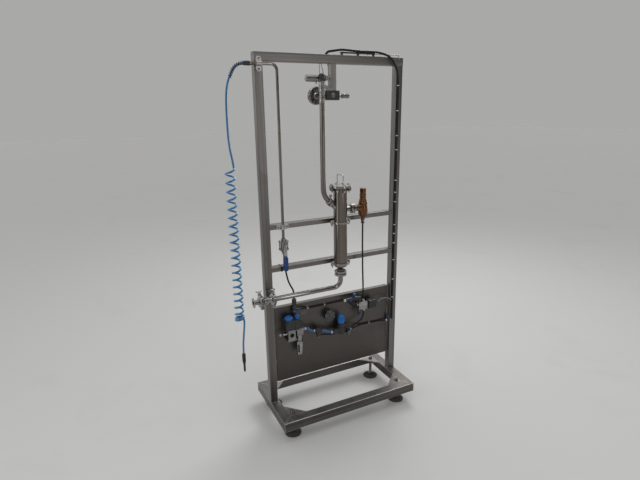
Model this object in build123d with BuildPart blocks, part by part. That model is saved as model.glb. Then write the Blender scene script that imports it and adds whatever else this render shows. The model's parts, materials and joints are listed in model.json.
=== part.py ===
# Tubular heat exchanger on a welded stand, sizes in millimetres.
# X runs along the stand, -Y is the side with the pipework, Z is up, floor at Z = 0.
import os
from math import cos, radians, sin, tan

from build123d import *

# Stand
stand_width = 800.0
stand_depth = 424.0
stand_height = 1900.0
base_top = 120.0
base_size = 50.0
post_size = 40.0
tube_wall = 2.0
tube_corner = 3.0
post_y = 6.0
rail_height = 25.0
rail_depth = 40.0
upper_rail_z = 1095.0
lower_rail_z = 875.0

# Levelling feet
foot_pad_radius = 43.0
foot_pad_height = 16.0
foot_spindle_radius = 8.0
foot_inset = 22.0
corner_plate_leg = 92.0
corner_plate_thickness = 6.0

# Back panel, folded back along its edges
panel_height = 430.0
panel_bottom = 230.0
panel_thickness = 2.0
panel_fold = 25.0
panel_slit = 10.0
panel_tab_height = 30.0
panel_tab_inset = 115.0

# Heat exchanger
shell_x = 0.0
shell_y = -70.0
shell_radius = 35.0
shell_wall = 2.0
shell_length = 406.0
shell_drop = 7.0
cover_radius = 57.0
cover_plate = 12.0
cover_bolts = 8
cover_bolt_radius = 3.3
shell_flange_height = 14.0
clamp_radius = 42.0
clamp_height = 10.0
clamp_ear_reach = 57.0
clamp_ear_width = 20.0
neck_radius = 14.0
union_radius = 32.0
union_height = 32.0
handle_wire = 2.5
handle_width = 62.0
handle_height = 50.0

# Process pipes
pipe_radius = 12.7
pipe_wall = 1.6
pipe_bend = 38.0
pipe_drop = 130.0
ferrule_radius = 25.25
ferrule_thickness = 6.0
ferrule_reach = 84.0
outlet_clamp_radius = 32.0
outlet_clamp_width = 22.0
outlet_body_length = 42.0
outlet_body_bore = 9.0
riser_offset = 95.0
riser_bend = 84.0
nozzle_angle = 45.0
nozzle_depth = 130.0

# Top instruments
hanger_size = 30.0
hanger_length = 123.0
plate_thickness = 3.0
plate_width = 77.0
plate_rise = 68.0
plate_hole_radius = 12.0
sensor_radius = 15.0
sensor_length = 71.0
sensor_knob_radius = 14.5
flange_radius = 42.0
flange_thickness = 20.0
block_width = 76.0
block_height = 44.0
plug_length = 62.0

# Safety valve
valve_offset = 133.0
valve_depth = 116.0
valve_union_radius = 25.0

# Air line
air_radius = 7.0
air_gap = 3.0
air_inset = 103.0
air_drop = 52.0
air_reach = 16.0
ball_valve_z = 1001.0
ball_valve_half = 35.0
lever_length = 140.0
lever_grip = 76.0

# Panel equipment
gear_y = -30.0
small_hose = 4.3
elbow_drop = 213.0
tee_share = 0.46
blue_tube = 6.0
unit_width = 84.0
unit_height = 55.0
regulator_x = 24.0
solenoid_x = 160.0
gauge_x = -42.0
gauge_radius = 31.0

# Spiral air hose
hose_radius = 5.0
coil_radius = 25.0
coil_reach = 144.0
coil_length = 756.0
coil_bottom = 640.0

# Worked out from the sizes above
half_width = stand_width / 2
half_depth = stand_depth / 2
post_x = half_width - post_size / 2
post_face = post_y - post_size / 2
post_back = post_y + post_size / 2
post_top = stand_height - post_size
base_low = base_top - base_size
rail_face = post_y - rail_depth / 2
rail_span = stand_width - 2 * post_size
panel_width = rail_span - 2 * panel_slit
panel_top = panel_bottom + panel_height
panel_face = post_y - panel_thickness / 2
shell_bottom = lower_rail_z - shell_drop
shell_top = shell_bottom + shell_length
cover_top = shell_top + cover_plate
pipe_bore = pipe_radius - pipe_wall
union_top = shell_bottom - 31
union_low = union_top - union_height
pipe_z = lower_rail_z - pipe_drop
ferrule_x = -half_width - ferrule_reach
riser_x = shell_x - riser_offset
nozzle_z = shell_top - nozzle_depth
hanger_bottom = post_top - hanger_length
hanger_face = post_y - hanger_size / 2
plate_top = hanger_bottom + plate_rise
plate_left = -plate_width - 5
sensor_z = hanger_bottom + 50
riser_top = hanger_bottom - 59
flange_z = hanger_bottom - 24
valve_x = shell_x + valve_offset
valve_z = shell_top - valve_depth
air_x = -half_width + air_inset
air_z = stand_height - air_drop
air_y = post_face - air_radius - air_gap
air_left = -half_width - air_reach
unit_x = -half_width + 132
unit_z = panel_top - 92
regulator_z = panel_top - 180
solenoid_z = panel_top - 72
gauge_z = panel_top - 97
coil_x = -half_width - coil_reach
coil_top = coil_bottom + coil_length
middle_x = (ferrule_x + half_width) / 2

up = (0, 0, 1)
down = (0, 0, -1)
left = (-1, 0, 0)
right = (1, 0, 0)
front = (0, -1, 0)
back = (0, 1, 0)
pieces = []


# Every piece is kept with the middle of the stand at X = 0
def keep(part, label):
    part = part.moved(Location((-middle_x, 0, 0)))
    part.label = label
    pieces.append(part)


def hollow_square(width, height, wall, corner):
    RectangleRounded(width, height, corner)
    RectangleRounded(
        width - 2 * wall, height - 2 * wall, corner / 3, mode=Mode.SUBTRACT
    )


# Turned body from steps of reach along its axis and radius
def turned(start, direction, *steps):
    with BuildPart() as body:
        with BuildSketch(Plane.XZ):
            with BuildLine():
                profile = [(radius, reach) for reach, radius in steps]
                Polyline((0, steps[0][0]), *profile, (0, steps[-1][0]), close=True)
            make_face()
        revolve(axis=Axis.Z)
    return body.part.moved(Plane(start, z_dir=direction).location)


def rod(start, direction, radius, length):
    return turned(start, direction, (0, radius), (length, radius))


# Square or hexagonal bar standing on its end
def bar(start, direction, sketch_width, sketch_depth, length, corner):
    side = (1, 0, 0) if direction[0] == 0 else (0, 1, 0)
    with BuildPart() as body:
        with BuildSketch(Plane(start, x_dir=side, z_dir=direction)):
            RectangleRounded(sketch_width, sketch_depth, corner)
        extrude(amount=length)
    return body.part


def hexagon(start, direction, radius, length):
    with BuildPart() as body:
        with BuildSketch(Plane(start, z_dir=direction)):
            RegularPolygon(radius, 6)
        extrude(amount=length)
        chamfer(body.faces().filter_by(GeomType.PLANE).sort_by(SortBy.AREA)[-1].edges(), 1)
    return body.part


def bent_pipe(points, bend, outer, inner):
    with BuildPart() as pipe:
        with BuildLine():
            path = FilletPolyline(*points, radius=bend)
        start = Plane(path @ 0, z_dir=path % 0)
        with BuildSketch(start):
            Circle(outer)
        sweep(path=path)
        with BuildSketch(start):
            Circle(inner)
        sweep(path=path, mode=Mode.SUBTRACT)
    return pipe.part


# Bend radii that fit between neighbouring points of a hose
def bend_radii(points, largest):
    radii = []
    for before, here, after in zip(points, points[1:], points[2:]):
        arrive = Vector(*here) - Vector(*before)
        leave = Vector(*after) - Vector(*here)
        turn = radians(arrive.get_angle(leave))
        reach = 0.45 * min(arrive.length, leave.length)
        radii.append(min(largest, reach / tan(turn / 2)))
    return radii


def hose(points, radius, bend):
    with BuildPart() as tube:
        with BuildLine():
            route = FilletPolyline(*points, radius=bend_radii(points, bend))
        with BuildSketch(Plane(route @ 0, z_dir=route % 0)):
            Circle(radius)
        sweep(path=route)
    return tube.part


# Base frame with mitred corners
def mitred_beam(length, size, wall):
    half = length / 2
    with BuildPart() as beam:
        with BuildSketch(Plane.XY.offset(base_low)):
            with BuildLine():
                Polyline((-half, 0), (half, 0), (half - size, size), (size - half, size), close=True)
            make_face()
        extrude(amount=size)
        with BuildSketch(Plane.XY.offset(base_low + wall)):
            with BuildLine():
                Polyline(
                    (wall - half, wall),
                    (half - wall, wall),
                    (half - size + wall, size - wall),
                    (size - wall - half, size - wall),
                    close=True,
                )
            make_face()
        extrude(amount=size - 2 * wall, mode=Mode.SUBTRACT)
    return beam.part


for label, length, turn, reach in (
    ("base_long_beams", stand_width, 0, half_depth),
    ("base_short_beams", stand_depth, 90, half_width),
):
    beam = mitred_beam(length, base_size, tube_wall).moved(Location((0, -reach, 0)))
    with BuildPart() as pair:
        add(beam.rotate(Axis.Z, turn))
        add(beam.rotate(Axis.Z, turn + 180))
    keep(pair.part, label)

# Corner plates that carry the feet
inner_x = half_width - base_size
inner_y = half_depth - base_size
foot_x = inner_x - foot_inset
foot_y = inner_y - foot_inset
with BuildPart() as corner_plates:
    with BuildSketch(Plane.XY.offset(base_top - corner_plate_thickness)):
        for side_x in (-1, 1):
            for side_y in (-1, 1):
                with BuildLine():
                    Polyline(
                        (side_x * inner_x, side_y * inner_y),
                        (side_x * (inner_x - corner_plate_leg), side_y * inner_y),
                        (side_x * inner_x, side_y * (inner_y - corner_plate_leg)),
                        close=True,
                    )
                make_face()
        with GridLocations(2 * foot_x, 2 * foot_y, 2, 2):
            Circle(foot_spindle_radius, mode=Mode.SUBTRACT)
    extrude(amount=corner_plate_thickness)
keep(corner_plates.part, "corner_plates")

# Levelling feet, a spindle with its nut over a moulded pad
nut_height = 8.0
spindle_top = base_top + 14.0
spindle = turned(
    (0, 0, 0),
    up,
    (foot_pad_height, foot_spindle_radius),
    (spindle_top - 1.5, foot_spindle_radius),
    (spindle_top, foot_spindle_radius - 1.5),
)
with BuildPart() as foot_spindle:
    add(spindle)
    with BuildSketch(Plane.XY.offset(base_top)):
        RegularPolygon(foot_spindle_radius + 5, 6)
    extrude(amount=nut_height)
foot_pad = turned(
    (0, 0, 0),
    up,
    (0, foot_pad_radius),
    (4, foot_pad_radius),
    (7, foot_pad_radius - 5),
    (11, 20),
    (foot_pad_height, 16),
)
for piece, label in ((foot_spindle.part, "foot_spindles"), (foot_pad, "foot_pads")):
    with BuildPart() as feet:
        with GridLocations(2 * foot_x, 2 * foot_y, 2, 2):
            add(piece)
    keep(feet.part, label)

# Posts with the tabs that hold the panel
tab_x = (rail_span - panel_slit) / 2
with BuildPart() as posts:
    with BuildSketch(Plane.XY.offset(base_top)):
        with Locations((-post_x, post_y), (post_x, post_y)):
            hollow_square(post_size, post_size, tube_wall, tube_corner)
    extrude(amount=post_top - base_top)
    for height in (panel_bottom + panel_tab_inset, panel_top - panel_tab_inset):
        with Locations((-tab_x, post_y, height), (tab_x, post_y, height)):
            Box(panel_slit, panel_thickness, panel_tab_height)
keep(posts.part, "posts")

with BuildPart() as top_beam:
    beam_start = Plane(
        (-half_width, post_y, stand_height - post_size / 2), x_dir=back, z_dir=right
    )
    with BuildSketch(beam_start):
        hollow_square(post_size, post_size, tube_wall, tube_corner)
    extrude(amount=stand_width)
keep(top_beam.part, "top_beam")

# Rails between the posts
with BuildPart() as rails:
    for height in (upper_rail_z, lower_rail_z):
        with BuildSketch(Plane((-rail_span / 2, post_y, height), x_dir=back, z_dir=right)):
            hollow_square(rail_depth, rail_height, tube_wall, tube_corner)
        extrude(amount=rail_span)
keep(rails.part, "rails")

# Back panel
with BuildPart() as back_panel:
    tray_back = Plane.XZ.offset(-panel_face - panel_fold)
    with BuildSketch(tray_back):
        with Locations((0, panel_bottom + panel_height / 2)):
            Rectangle(panel_width, panel_height)
    extrude(amount=panel_fold)
    fillet(back_panel.faces().sort_by(Axis.Y)[0].edges(), 1.5 * panel_thickness)
    with BuildSketch(tray_back):
        with Locations((0, panel_bottom + panel_height / 2)):
            Rectangle(panel_width - 2 * panel_thickness, panel_height - 2 * panel_thickness)
    extrude(amount=panel_fold - panel_thickness, mode=Mode.SUBTRACT)
keep(back_panel.part, "back_panel")

# Shell of the heat exchanger with its lobed top flange and three openings
nozzle_direction = (-sin(radians(nozzle_angle)), 0, cos(radians(nozzle_angle)))
bolt_circle = cover_radius - 11
with BuildPart() as shell:
    add(rod((shell_x, shell_y, shell_bottom), up, shell_radius, shell_length))
    with BuildSketch(Plane((shell_x, shell_y, shell_top - shell_flange_height), z_dir=up)):
        Circle(bolt_circle - 4)
        with PolarLocations(bolt_circle, cover_bolts):
            Circle(cover_radius - bolt_circle)
        with PolarLocations(bolt_circle, cover_bolts):
            Circle(cover_bolt_radius, mode=Mode.SUBTRACT)
    extrude(amount=shell_flange_height)
    inside = shell_radius - shell_wall
    add(rod((shell_x, shell_y, shell_bottom), up, inside, shell_length), mode=Mode.SUBTRACT)
    for height, direction in ((nozzle_z, nozzle_direction), (valve_z, right)):
        opening = rod((shell_x, shell_y, height), direction, pipe_bore, 3 * shell_radius)
        add(opening, mode=Mode.SUBTRACT)
keep(shell.part, "shell")

# Bolted cover with its lifting handle
with BuildPart() as top_cover:
    with BuildSketch(Plane((shell_x, shell_y, shell_top), z_dir=up)):
        Circle(cover_radius)
    extrude(amount=cover_plate)
    fillet(top_cover.faces().sort_by(Axis.Z)[-1].edges(), 2)
    with BuildSketch(Plane((shell_x, shell_y, shell_top), z_dir=up)):
        with PolarLocations(bolt_circle, cover_bolts):
            Circle(cover_bolt_radius)
    extrude(amount=cover_plate, mode=Mode.SUBTRACT)
keep(top_cover.part, "top_cover")

with BuildPart() as cover_handle:
    half_grip = handle_width / 2
    grip_top = cover_top + handle_height
    with BuildLine():
        grip = FilletPolyline(
            (shell_x, shell_y + half_grip, cover_top),
            (shell_x, shell_y + half_grip, grip_top),
            (shell_x, shell_y - half_grip, grip_top),
            (shell_x, shell_y - half_grip, cover_top),
            radius=9,
        )
    with BuildSketch(Plane(grip @ 0, z_dir=grip % 0)):
        Circle(handle_wire)
    sweep(path=grip)
keep(cover_handle.part, "cover_handle")

# Eared clamps around the shell, each with a saddle to its rail
saddle_depth = rail_face - shell_y
with BuildPart() as shell_clamps:
    for height in (upper_rail_z, lower_rail_z):
        with BuildSketch(Plane((shell_x, shell_y, height - clamp_height / 2), z_dir=up)):
            Circle(clamp_radius)
            RectangleRounded(2 * clamp_ear_reach, clamp_ear_width, clamp_ear_width / 2 - 0.1)
            Circle(shell_radius, mode=Mode.SUBTRACT)
        extrude(amount=clamp_height)
        with BuildSketch(Plane((shell_x, shell_y, height - rail_height / 2), z_dir=up)):
            with Locations((0, saddle_depth / 2)):
                Rectangle(rail_height, saddle_depth)
            Circle(shell_radius, mode=Mode.SUBTRACT)
        extrude(amount=rail_height)
keep(shell_clamps.part, "shell_clamps")

# Lower head, drawn in to the outlet union
with BuildPart() as lower_head:
    with BuildSketch(Plane.XZ.offset(-shell_y)):
        with BuildLine():
            Line((shell_x, shell_bottom), (shell_x + shell_radius, shell_bottom))
            Line((shell_x + shell_radius, shell_bottom), (shell_x + shell_radius, shell_bottom - 3))
            Bezier(
                (shell_x + shell_radius, shell_bottom - 3),
                (shell_x + shell_radius, shell_bottom - 16),
                (shell_x + neck_radius, shell_bottom - 12),
                (shell_x + neck_radius, union_top + 4),
            )
            Line((shell_x + neck_radius, union_top + 4), (shell_x + neck_radius, union_top))
            Line((shell_x + neck_radius, union_top), (shell_x, union_top))
            Line((shell_x, union_top), (shell_x, shell_bottom))
        make_face()
    revolve(axis=Axis((shell_x, shell_y, 0), up))
    drain = rod((shell_x, shell_y, union_top), up, pipe_bore, shell_bottom - union_top)
    add(drain, mode=Mode.SUBTRACT)
keep(lower_head.part, "lower_head")

# Small union below the head, two flanges with a groove between them
union_rim = union_height / 2 - 4
with BuildPart() as outlet_union:
    add(
        turned(
            (shell_x, shell_y, union_low),
            up,
            (0, union_radius - 6),
            (4, union_radius),
            (union_rim, union_radius),
            (union_rim, union_radius - 6),
            (union_height - union_rim, union_radius - 6),
            (union_height - union_rim, union_radius),
            (union_height - 4, union_radius),
            (union_height, union_radius - 6),
        )
    )
    add(rod((shell_x, shell_y, union_low), up, pipe_bore, union_height), mode=Mode.SUBTRACT)
keep(outlet_union.part, "outlet_union")

# Product pipe to the left and the clamped outlet at its end
inner_clamp_right = -post_x + 10
inner_clamp_left = inner_clamp_right - outlet_clamp_width
outer_clamp_right = inner_clamp_left - outlet_body_length
stub_start = outer_clamp_right - outlet_clamp_width
product_route = [
    (shell_x, shell_y, union_low),
    (shell_x, shell_y, pipe_z),
    (inner_clamp_right, shell_y, pipe_z),
]
keep(bent_pipe(product_route, pipe_bend, pipe_radius, pipe_bore), "product_pipe")


def pipe_clamp(start, bore, bolt_turn):
    rim = outlet_clamp_radius
    with BuildPart() as clamp:
        add(
            turned(
                (start, shell_y, pipe_z),
                left,
                (0, rim - 7),
                (5, rim),
                (outlet_clamp_width - 5, rim),
                (outlet_clamp_width, rim - 7),
            )
        )
        ear = Vector(0, sin(radians(bolt_turn)), cos(radians(bolt_turn)))
        middle = Vector(start - outlet_clamp_width / 2, shell_y, pipe_z)
        for side in (-1, 1):
            foot = middle + ear * (side * (rim - 4))
            add(bar(tuple(foot), tuple(ear * side), 14, 12, 13, 3))
        add(rod((start, shell_y, pipe_z), left, bore, outlet_clamp_width), mode=Mode.SUBTRACT)
    return clamp.part


with BuildPart() as outlet_clamps:
    add(pipe_clamp(inner_clamp_right, pipe_bore, 0))
    add(pipe_clamp(outer_clamp_right, pipe_bore, 35))
    knob_foot = (inner_clamp_right - outlet_clamp_width / 2, shell_y, pipe_z + 41)
    add(turned(knob_foot, up, (0, 5), (6, 5), (8, 11.5), (13, 11.5), (16, 8)))
keep(outlet_clamps.part, "outlet_clamps")

body_middle = outlet_body_length / 2
with BuildPart() as outlet_body:
    add(
        turned(
            (inner_clamp_left, shell_y, pipe_z),
            left,
            (0, 19),
            (4, 16),
            (body_middle - 4, 16),
            (body_middle - 4, 21),
            (body_middle + 4, 21),
            (body_middle + 4, 16),
            (outlet_body_length - 4, 16),
            (outlet_body_length, 19),
        )
    )
    narrow = rod((inner_clamp_left, shell_y, pipe_z), left, outlet_body_bore, outlet_body_length)
    add(narrow, mode=Mode.SUBTRACT)
keep(outlet_body.part, "outlet_body")

stub_length = stub_start - ferrule_x
with BuildPart() as outlet_ferrule:
    add(
        turned(
            (stub_start, shell_y, pipe_z),
            left,
            (0, pipe_radius),
            (stub_length - ferrule_thickness, pipe_radius),
            (stub_length - ferrule_thickness + 3.5, ferrule_radius),
            (stub_length, ferrule_radius),
        )
    )
    add(rod((stub_start, shell_y, pipe_z), left, pipe_bore, stub_length), mode=Mode.SUBTRACT)
keep(outlet_ferrule.part, "outlet_ferrule")

# Holder from the left post to the inner clamp
holder_x = inner_clamp_right - outlet_clamp_width / 2
holder_depth = post_face - shell_y
with BuildPart() as pipe_holder:
    add(bar((holder_x, post_face, pipe_z), front, 36, 60, 4, 4))
    add(bar((holder_x, post_face, pipe_z), front, 14, 24, holder_depth - 8, 2))
    clear = rod((inner_clamp_right, shell_y, pipe_z), left, outlet_clamp_radius, 30)
    add(clear, mode=Mode.SUBTRACT)
keep(pipe_holder.part, "pipe_holder")

# Slanted union on the shell and the riser pipe from it to the tee
union_reach = 98.0
nozzle_root = Vector(shell_x, shell_y, nozzle_z)
union_end = nozzle_root + Vector(*nozzle_direction) * union_reach
shell_core = rod((shell_x, shell_y, nozzle_z - 60), up, shell_radius, 180)
with BuildPart() as shell_union:
    add(
        turned(
            tuple(nozzle_root),
            nozzle_direction,
            (30, pipe_radius),
            (70, pipe_radius),
            (70, 17),
            (73, 19),
            (82, 19),
            (83, 16.5),
            (86, 16.5),
            (87, 19),
            (95, 19),
            (union_reach, 17),
        )
    )
    wing = nozzle_root + Vector(*nozzle_direction) * 78 + Vector(0, 0, 16)
    add(rod(tuple(wing), up, 3, 18))
    add(bar(tuple(wing + Vector(0, 0, 14)), up, 16, 6, 12, 2.5))
    add(shell_core, mode=Mode.SUBTRACT)
    bore = rod(tuple(nozzle_root), nozzle_direction, pipe_bore, union_reach)
    add(bore, mode=Mode.SUBTRACT)
keep(shell_union.part, "shell_union")

riser_corner = nozzle_z + riser_offset / tan(radians(nozzle_angle))
riser_route = [
    tuple(union_end),
    (riser_x, shell_y, riser_corner),
    (riser_x, shell_y, riser_top),
]
keep(bent_pipe(riser_route, riser_bend, pipe_radius, pipe_bore), "riser_pipe")

# Tee on top of the riser with the flanged branch behind it
tee_height = sensor_z - sensor_radius - riser_top
disc_back = post_y
disc_front = disc_back - flange_thickness
with BuildPart() as riser_tee:
    add(
        turned(
            (riser_x, shell_y, riser_top),
            up,
            (0, 14.5),
            (20, 14.5),
            (24, 13),
            (tee_height - 48, 13),
            (tee_height - 44, 15),
            (tee_height - 20, 15),
            (tee_height - 20, 12),
            (tee_height, 12),
        )
    )
    add(
        turned(
            (riser_x, shell_y, flange_z),
            back,
            (0, 11),
            (disc_front - shell_y - 4, 11),
            (disc_front - shell_y, 15),
            (disc_front - shell_y, flange_radius - 3),
            (disc_front - shell_y + 3, flange_radius),
            (disc_back - shell_y - 3, flange_radius),
            (disc_back - shell_y, flange_radius - 3),
        )
    )
keep(riser_tee.part, "riser_tee")

# Level sensor across the tee, with its black knob
sensor_right = riser_x - 12
sensor_left = sensor_right - sensor_length
head_length = plate_left - sensor_right
with BuildPart() as sensor_housing:
    add(
        turned(
            (sensor_right, shell_y, sensor_z),
            left,
            (0, sensor_radius),
            (8, sensor_radius),
            (8, sensor_radius - 2),
            (12, sensor_radius - 2),
            (12, sensor_radius),
            (sensor_length - 3, sensor_radius),
            (sensor_length, sensor_radius - 3),
        )
    )
    head = (sensor_right, shell_y, sensor_z)
    add(bar(head, right, 2 * sensor_radius, 2 * sensor_radius, head_length, 3))
    add(rod((sensor_right - 18, shell_y, sensor_z - sensor_radius - 9), up, 4, 12))
keep(sensor_housing.part, "sensor_housing")

knob_seat = (sensor_right, shell_y - sensor_radius, sensor_z + 6)
sensor_knob = turned(
    knob_seat,
    front,
    (0, 9),
    (3, 9),
    (3, sensor_knob_radius),
    (12, sensor_knob_radius),
    (15, sensor_knob_radius - 3),
)
keep(sensor_knob, "sensor_knob")

# Hanger under the top beam with its bent plate
with BuildPart() as hanger:
    with BuildSketch(Plane.XY.offset(hanger_bottom)):
        with Locations((0, post_y)):
            hollow_square(hanger_size, hanger_size, tube_wall, tube_corner)
    extrude(amount=hanger_length)
keep(hanger.part, "hanger")

plate_low = hanger_face - plate_thickness
arm_height = 48.0
with BuildPart() as hanger_plate:
    with BuildSketch(Plane.XZ.offset(-hanger_face)):
        with BuildLine():
            Polyline(
                (-5, hanger_bottom),
                (-5, plate_top),
                (plate_left, plate_top),
                (plate_left, plate_top - arm_height),
                (plate_left + 28, hanger_bottom),
                close=True,
            )
        make_face()
        with Locations((plate_left + 44, hanger_bottom + 34)):
            Circle(plate_hole_radius, mode=Mode.SUBTRACT)
    extrude(amount=plate_thickness)
    arm_start = (plate_left + plate_thickness / 2, plate_low, plate_top - arm_height / 2)
    add(bar(arm_start, front, plate_thickness, arm_height, plate_low - shell_y, 0.5))
keep(hanger_plate.part, "hanger_plate")

# Wires bent under and over the top beam
wire = 2.0
wire_y = hanger_face - plate_thickness / 2
loop_top = post_top - wire
loop_route = [
    (plate_left + 5, wire_y, plate_top),
    (plate_left + 5, wire_y, loop_top),
    (plate_left + 14, wire_y, loop_top),
    (plate_left + 25, wire_y, plate_top + 10),
    (plate_left + 25, wire_y, plate_top),
]
strip_length = 192.0
strip_left = 46.0
strip_low = stand_height + 10
rod_z = strip_low + 3
rod_route = [
    (strip_left + strip_length, post_y, rod_z),
    (post_x + 6, post_y, rod_z),
    (post_x + 6, post_y, stand_height),
]
with BuildPart() as beam_wires:
    add(hose(loop_route, wire, 4.0))
    add(hose(rod_route, wire, 6.0))
keep(beam_wires.part, "beam_wires")

# Strip on short feet that carries the cables over the beam
with BuildPart() as cable_strip:
    with Locations((strip_left + strip_length / 2, post_y, strip_low + 3)):
        Box(strip_length, 14, 6)
    for step in range(3):
        foot = strip_left + 6 + step * (strip_length - 12) / 2
        add(bar((foot, post_y, stand_height), up, 8, 14, strip_low - stand_height, 2))
keep(cable_strip.part, "cable_strip")

# Transmitter below the hanger and its plug
block_left = -block_width / 2 - 6
block_right = block_left + block_width
with BuildPart() as flow_body:
    with BuildSketch(Plane.XY.offset(hanger_bottom - block_height)):
        with Locations((block_left + block_width / 2, post_y)):
            RectangleRounded(block_width, 40, 6)
    extrude(amount=block_height)
    chamfer(flow_body.faces().sort_by(Axis.Z)[0].edges(), 3)
    add(rod((block_left, post_y - 8, flange_z), left, 9, 30))
    disc = rod((riser_x, disc_front - 5, flange_z), back, flange_radius, 60)
    add(disc, mode=Mode.SUBTRACT)
keep(flow_body.part, "flow_body")

plug_connector = turned(
    (block_right, post_y, flange_z),
    right,
    (0, 9),
    (4, 9),
    (4, 5),
    (16, 5),
    (18, 11),
    (32, 11),
    (33, 9.5),
    (37, 9.5),
    (38, 11),
    (plug_length - 5, 11),
    (plug_length, 7),
)
keep(plug_connector, "plug_connector")

# Union and outlet nut of the safety valve
valve_seat = valve_offset - 38
valve_low = valve_z - 65
nut_low = valve_low - 20
with BuildPart() as valve_fittings:
    add(
        turned(
            (shell_x, shell_y, valve_z),
            right,
            (20, pipe_radius),
            (57, pipe_radius),
            (57, valve_union_radius - 5),
            (61, valve_union_radius),
            (68, valve_union_radius),
            (68, valve_union_radius - 5),
            (72, valve_union_radius - 5),
            (72, valve_union_radius),
            (79, valve_union_radius),
            (83, valve_union_radius - 5),
            (83, pipe_radius),
            (valve_seat, pipe_radius),
        )
    )
    add(rod((shell_x, shell_y, valve_z - 60), up, shell_radius, 120), mode=Mode.SUBTRACT)
    bore = rod((shell_x, shell_y, valve_z), right, pipe_bore, valve_seat)
    add(bore, mode=Mode.SUBTRACT)
    add(hexagon((valve_x, shell_y, valve_low), down, 9.5, 11))
    add(rod((valve_x, shell_y, valve_low), down, 6.5, 20))
keep(valve_fittings.part, "valve_fittings")

# Cast safety valve, body and branch run into each other
with BuildPart() as safety_valve:
    add(
        turned(
            (valve_x, shell_y, valve_low),
            up,
            (0, 11),
            (8, 12),
            (20, 20.5),
            (25, 22.5),
            (60, 23),
            (78, 22),
            (88, 19.5),
            (102, 17.5),
            (118, 16.5),
            (118, 15),
            (123, 15),
            (123, 17),
            (137, 17),
            (137, 14),
            (142, 14),
        )
    )
    add(turned((valve_x, shell_y, valve_z), left, (0, 21), (20, 19), (32, 14), (38, 14)))
    fillet(safety_valve.edges().filter_by(GeomType.BSPLINE), 3)
    add(hexagon((valve_x, shell_y, valve_low + 142), up, 18, 23))
keep(safety_valve.part, "safety_valve")

# Air tube down the left side with its two clips
air_stop = ball_valve_z + ball_valve_half
air_bend = 28.0
air_route = [(air_left, air_y, air_z), (air_x, air_y, air_z), (air_x, air_y, air_stop)]
keep(bent_pipe(air_route, air_bend, air_radius, air_radius - 1), "air_tube")

clip_length = 64.0
clip_width = 27.0
clip_depth = post_face - air_y
with BuildPart() as tube_clips:
    add(bar((-post_x, post_face, air_z), front, clip_width, clip_length, 5, 10))
    add(rod((-post_x - clip_width / 2, air_y, air_z), right, air_radius + 3, clip_width))
    add(bar((-post_x, post_face, air_z), front, clip_width, 2 * air_radius + 6, clip_depth, 0.5))
    add(bar((air_x, rail_face, upper_rail_z), front, clip_length, clip_width, 5, 10))
    add(rod((air_x, air_y, upper_rail_z - clip_width / 2), up, air_radius + 3, clip_width))
    add(bar((air_x, rail_face, upper_rail_z), front, 2 * air_radius + 6, clip_width, clip_depth, 0.5))
    add(rod((-post_x - 40, air_y, air_z), right, air_radius, 80), mode=Mode.SUBTRACT)
    add(rod((air_x, air_y, upper_rail_z - 40), up, air_radius, 80), mode=Mode.SUBTRACT)
keep(tube_clips.part, "tube_clips")

# Three-piece ball valve with a lever that turns a quarter
ball_low = ball_valve_z - ball_valve_half
stem_reach = 21.0
with BuildPart() as ball_valve_body:
    add(hexagon((air_x, air_y, ball_low), up, 12.5, ball_valve_half))
    add(hexagon((air_x, air_y, air_stop), down, 12.5, ball_valve_half))
    add(rod((air_x, air_y, ball_valve_z - 18), up, 17, 36))
    for height in (ball_valve_z - 22, ball_valve_z + 16):
        add(bar((air_x, air_y, height), up, 48, 28, 6, 7))
    add(rod((air_x, air_y, ball_valve_z), front, 8, stem_reach))
keep(ball_valve_body.part, "ball_valve_body")

lever_face = air_y - stem_reach
lever_plate = 3.0
with BuildPart() as ball_valve_lever:
    lever_plane = Plane((air_x, lever_face, ball_valve_z), x_dir=right, z_dir=front)
    with BuildSketch(lever_plane):
        with Locations((0, 10 - lever_length / 2)):
            RectangleRounded(17, lever_length, 8)
    extrude(amount=lever_plate)
    with BuildSketch(lever_plane.offset(lever_plate / 2)):
        with Locations((0, 10 - lever_length + lever_grip / 2)):
            RectangleRounded(24, lever_grip, 10)
    extrude(amount=6, both=True)
    fillet(ball_valve_lever.faces().sort_by(Axis.Y)[0].edges(), 3)
keep(ball_valve_lever.part, "ball_valve_lever")

# Service unit with its two caps
unit_depth = panel_face - gear_y + 24
unit_low = unit_z - unit_height / 2
unit_top = unit_z + unit_height / 2
with BuildPart() as service_unit:
    with BuildSketch(Plane.XZ.offset(-panel_face)):
        with Locations((unit_x, unit_z)):
            RectangleRounded(unit_width, unit_height, 6)
    extrude(amount=unit_depth)
    chamfer(service_unit.faces().sort_by(Axis.Y)[0].edges(), 3)
keep(service_unit.part, "service_unit")

big_cap = (unit_x - 19, gear_y, unit_top)
small_cap = (unit_x + 26, gear_y - 6, unit_top)
with BuildPart() as service_caps:
    add(turned(big_cap, up, (0, 18), (3, 18), (4, 21), (15, 21), (19, 16)))
    add(turned(small_cap, up, (0, 9), (4, 9), (5, 11), (18, 11), (22, 8)))
keep(service_caps.part, "service_caps")

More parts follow.
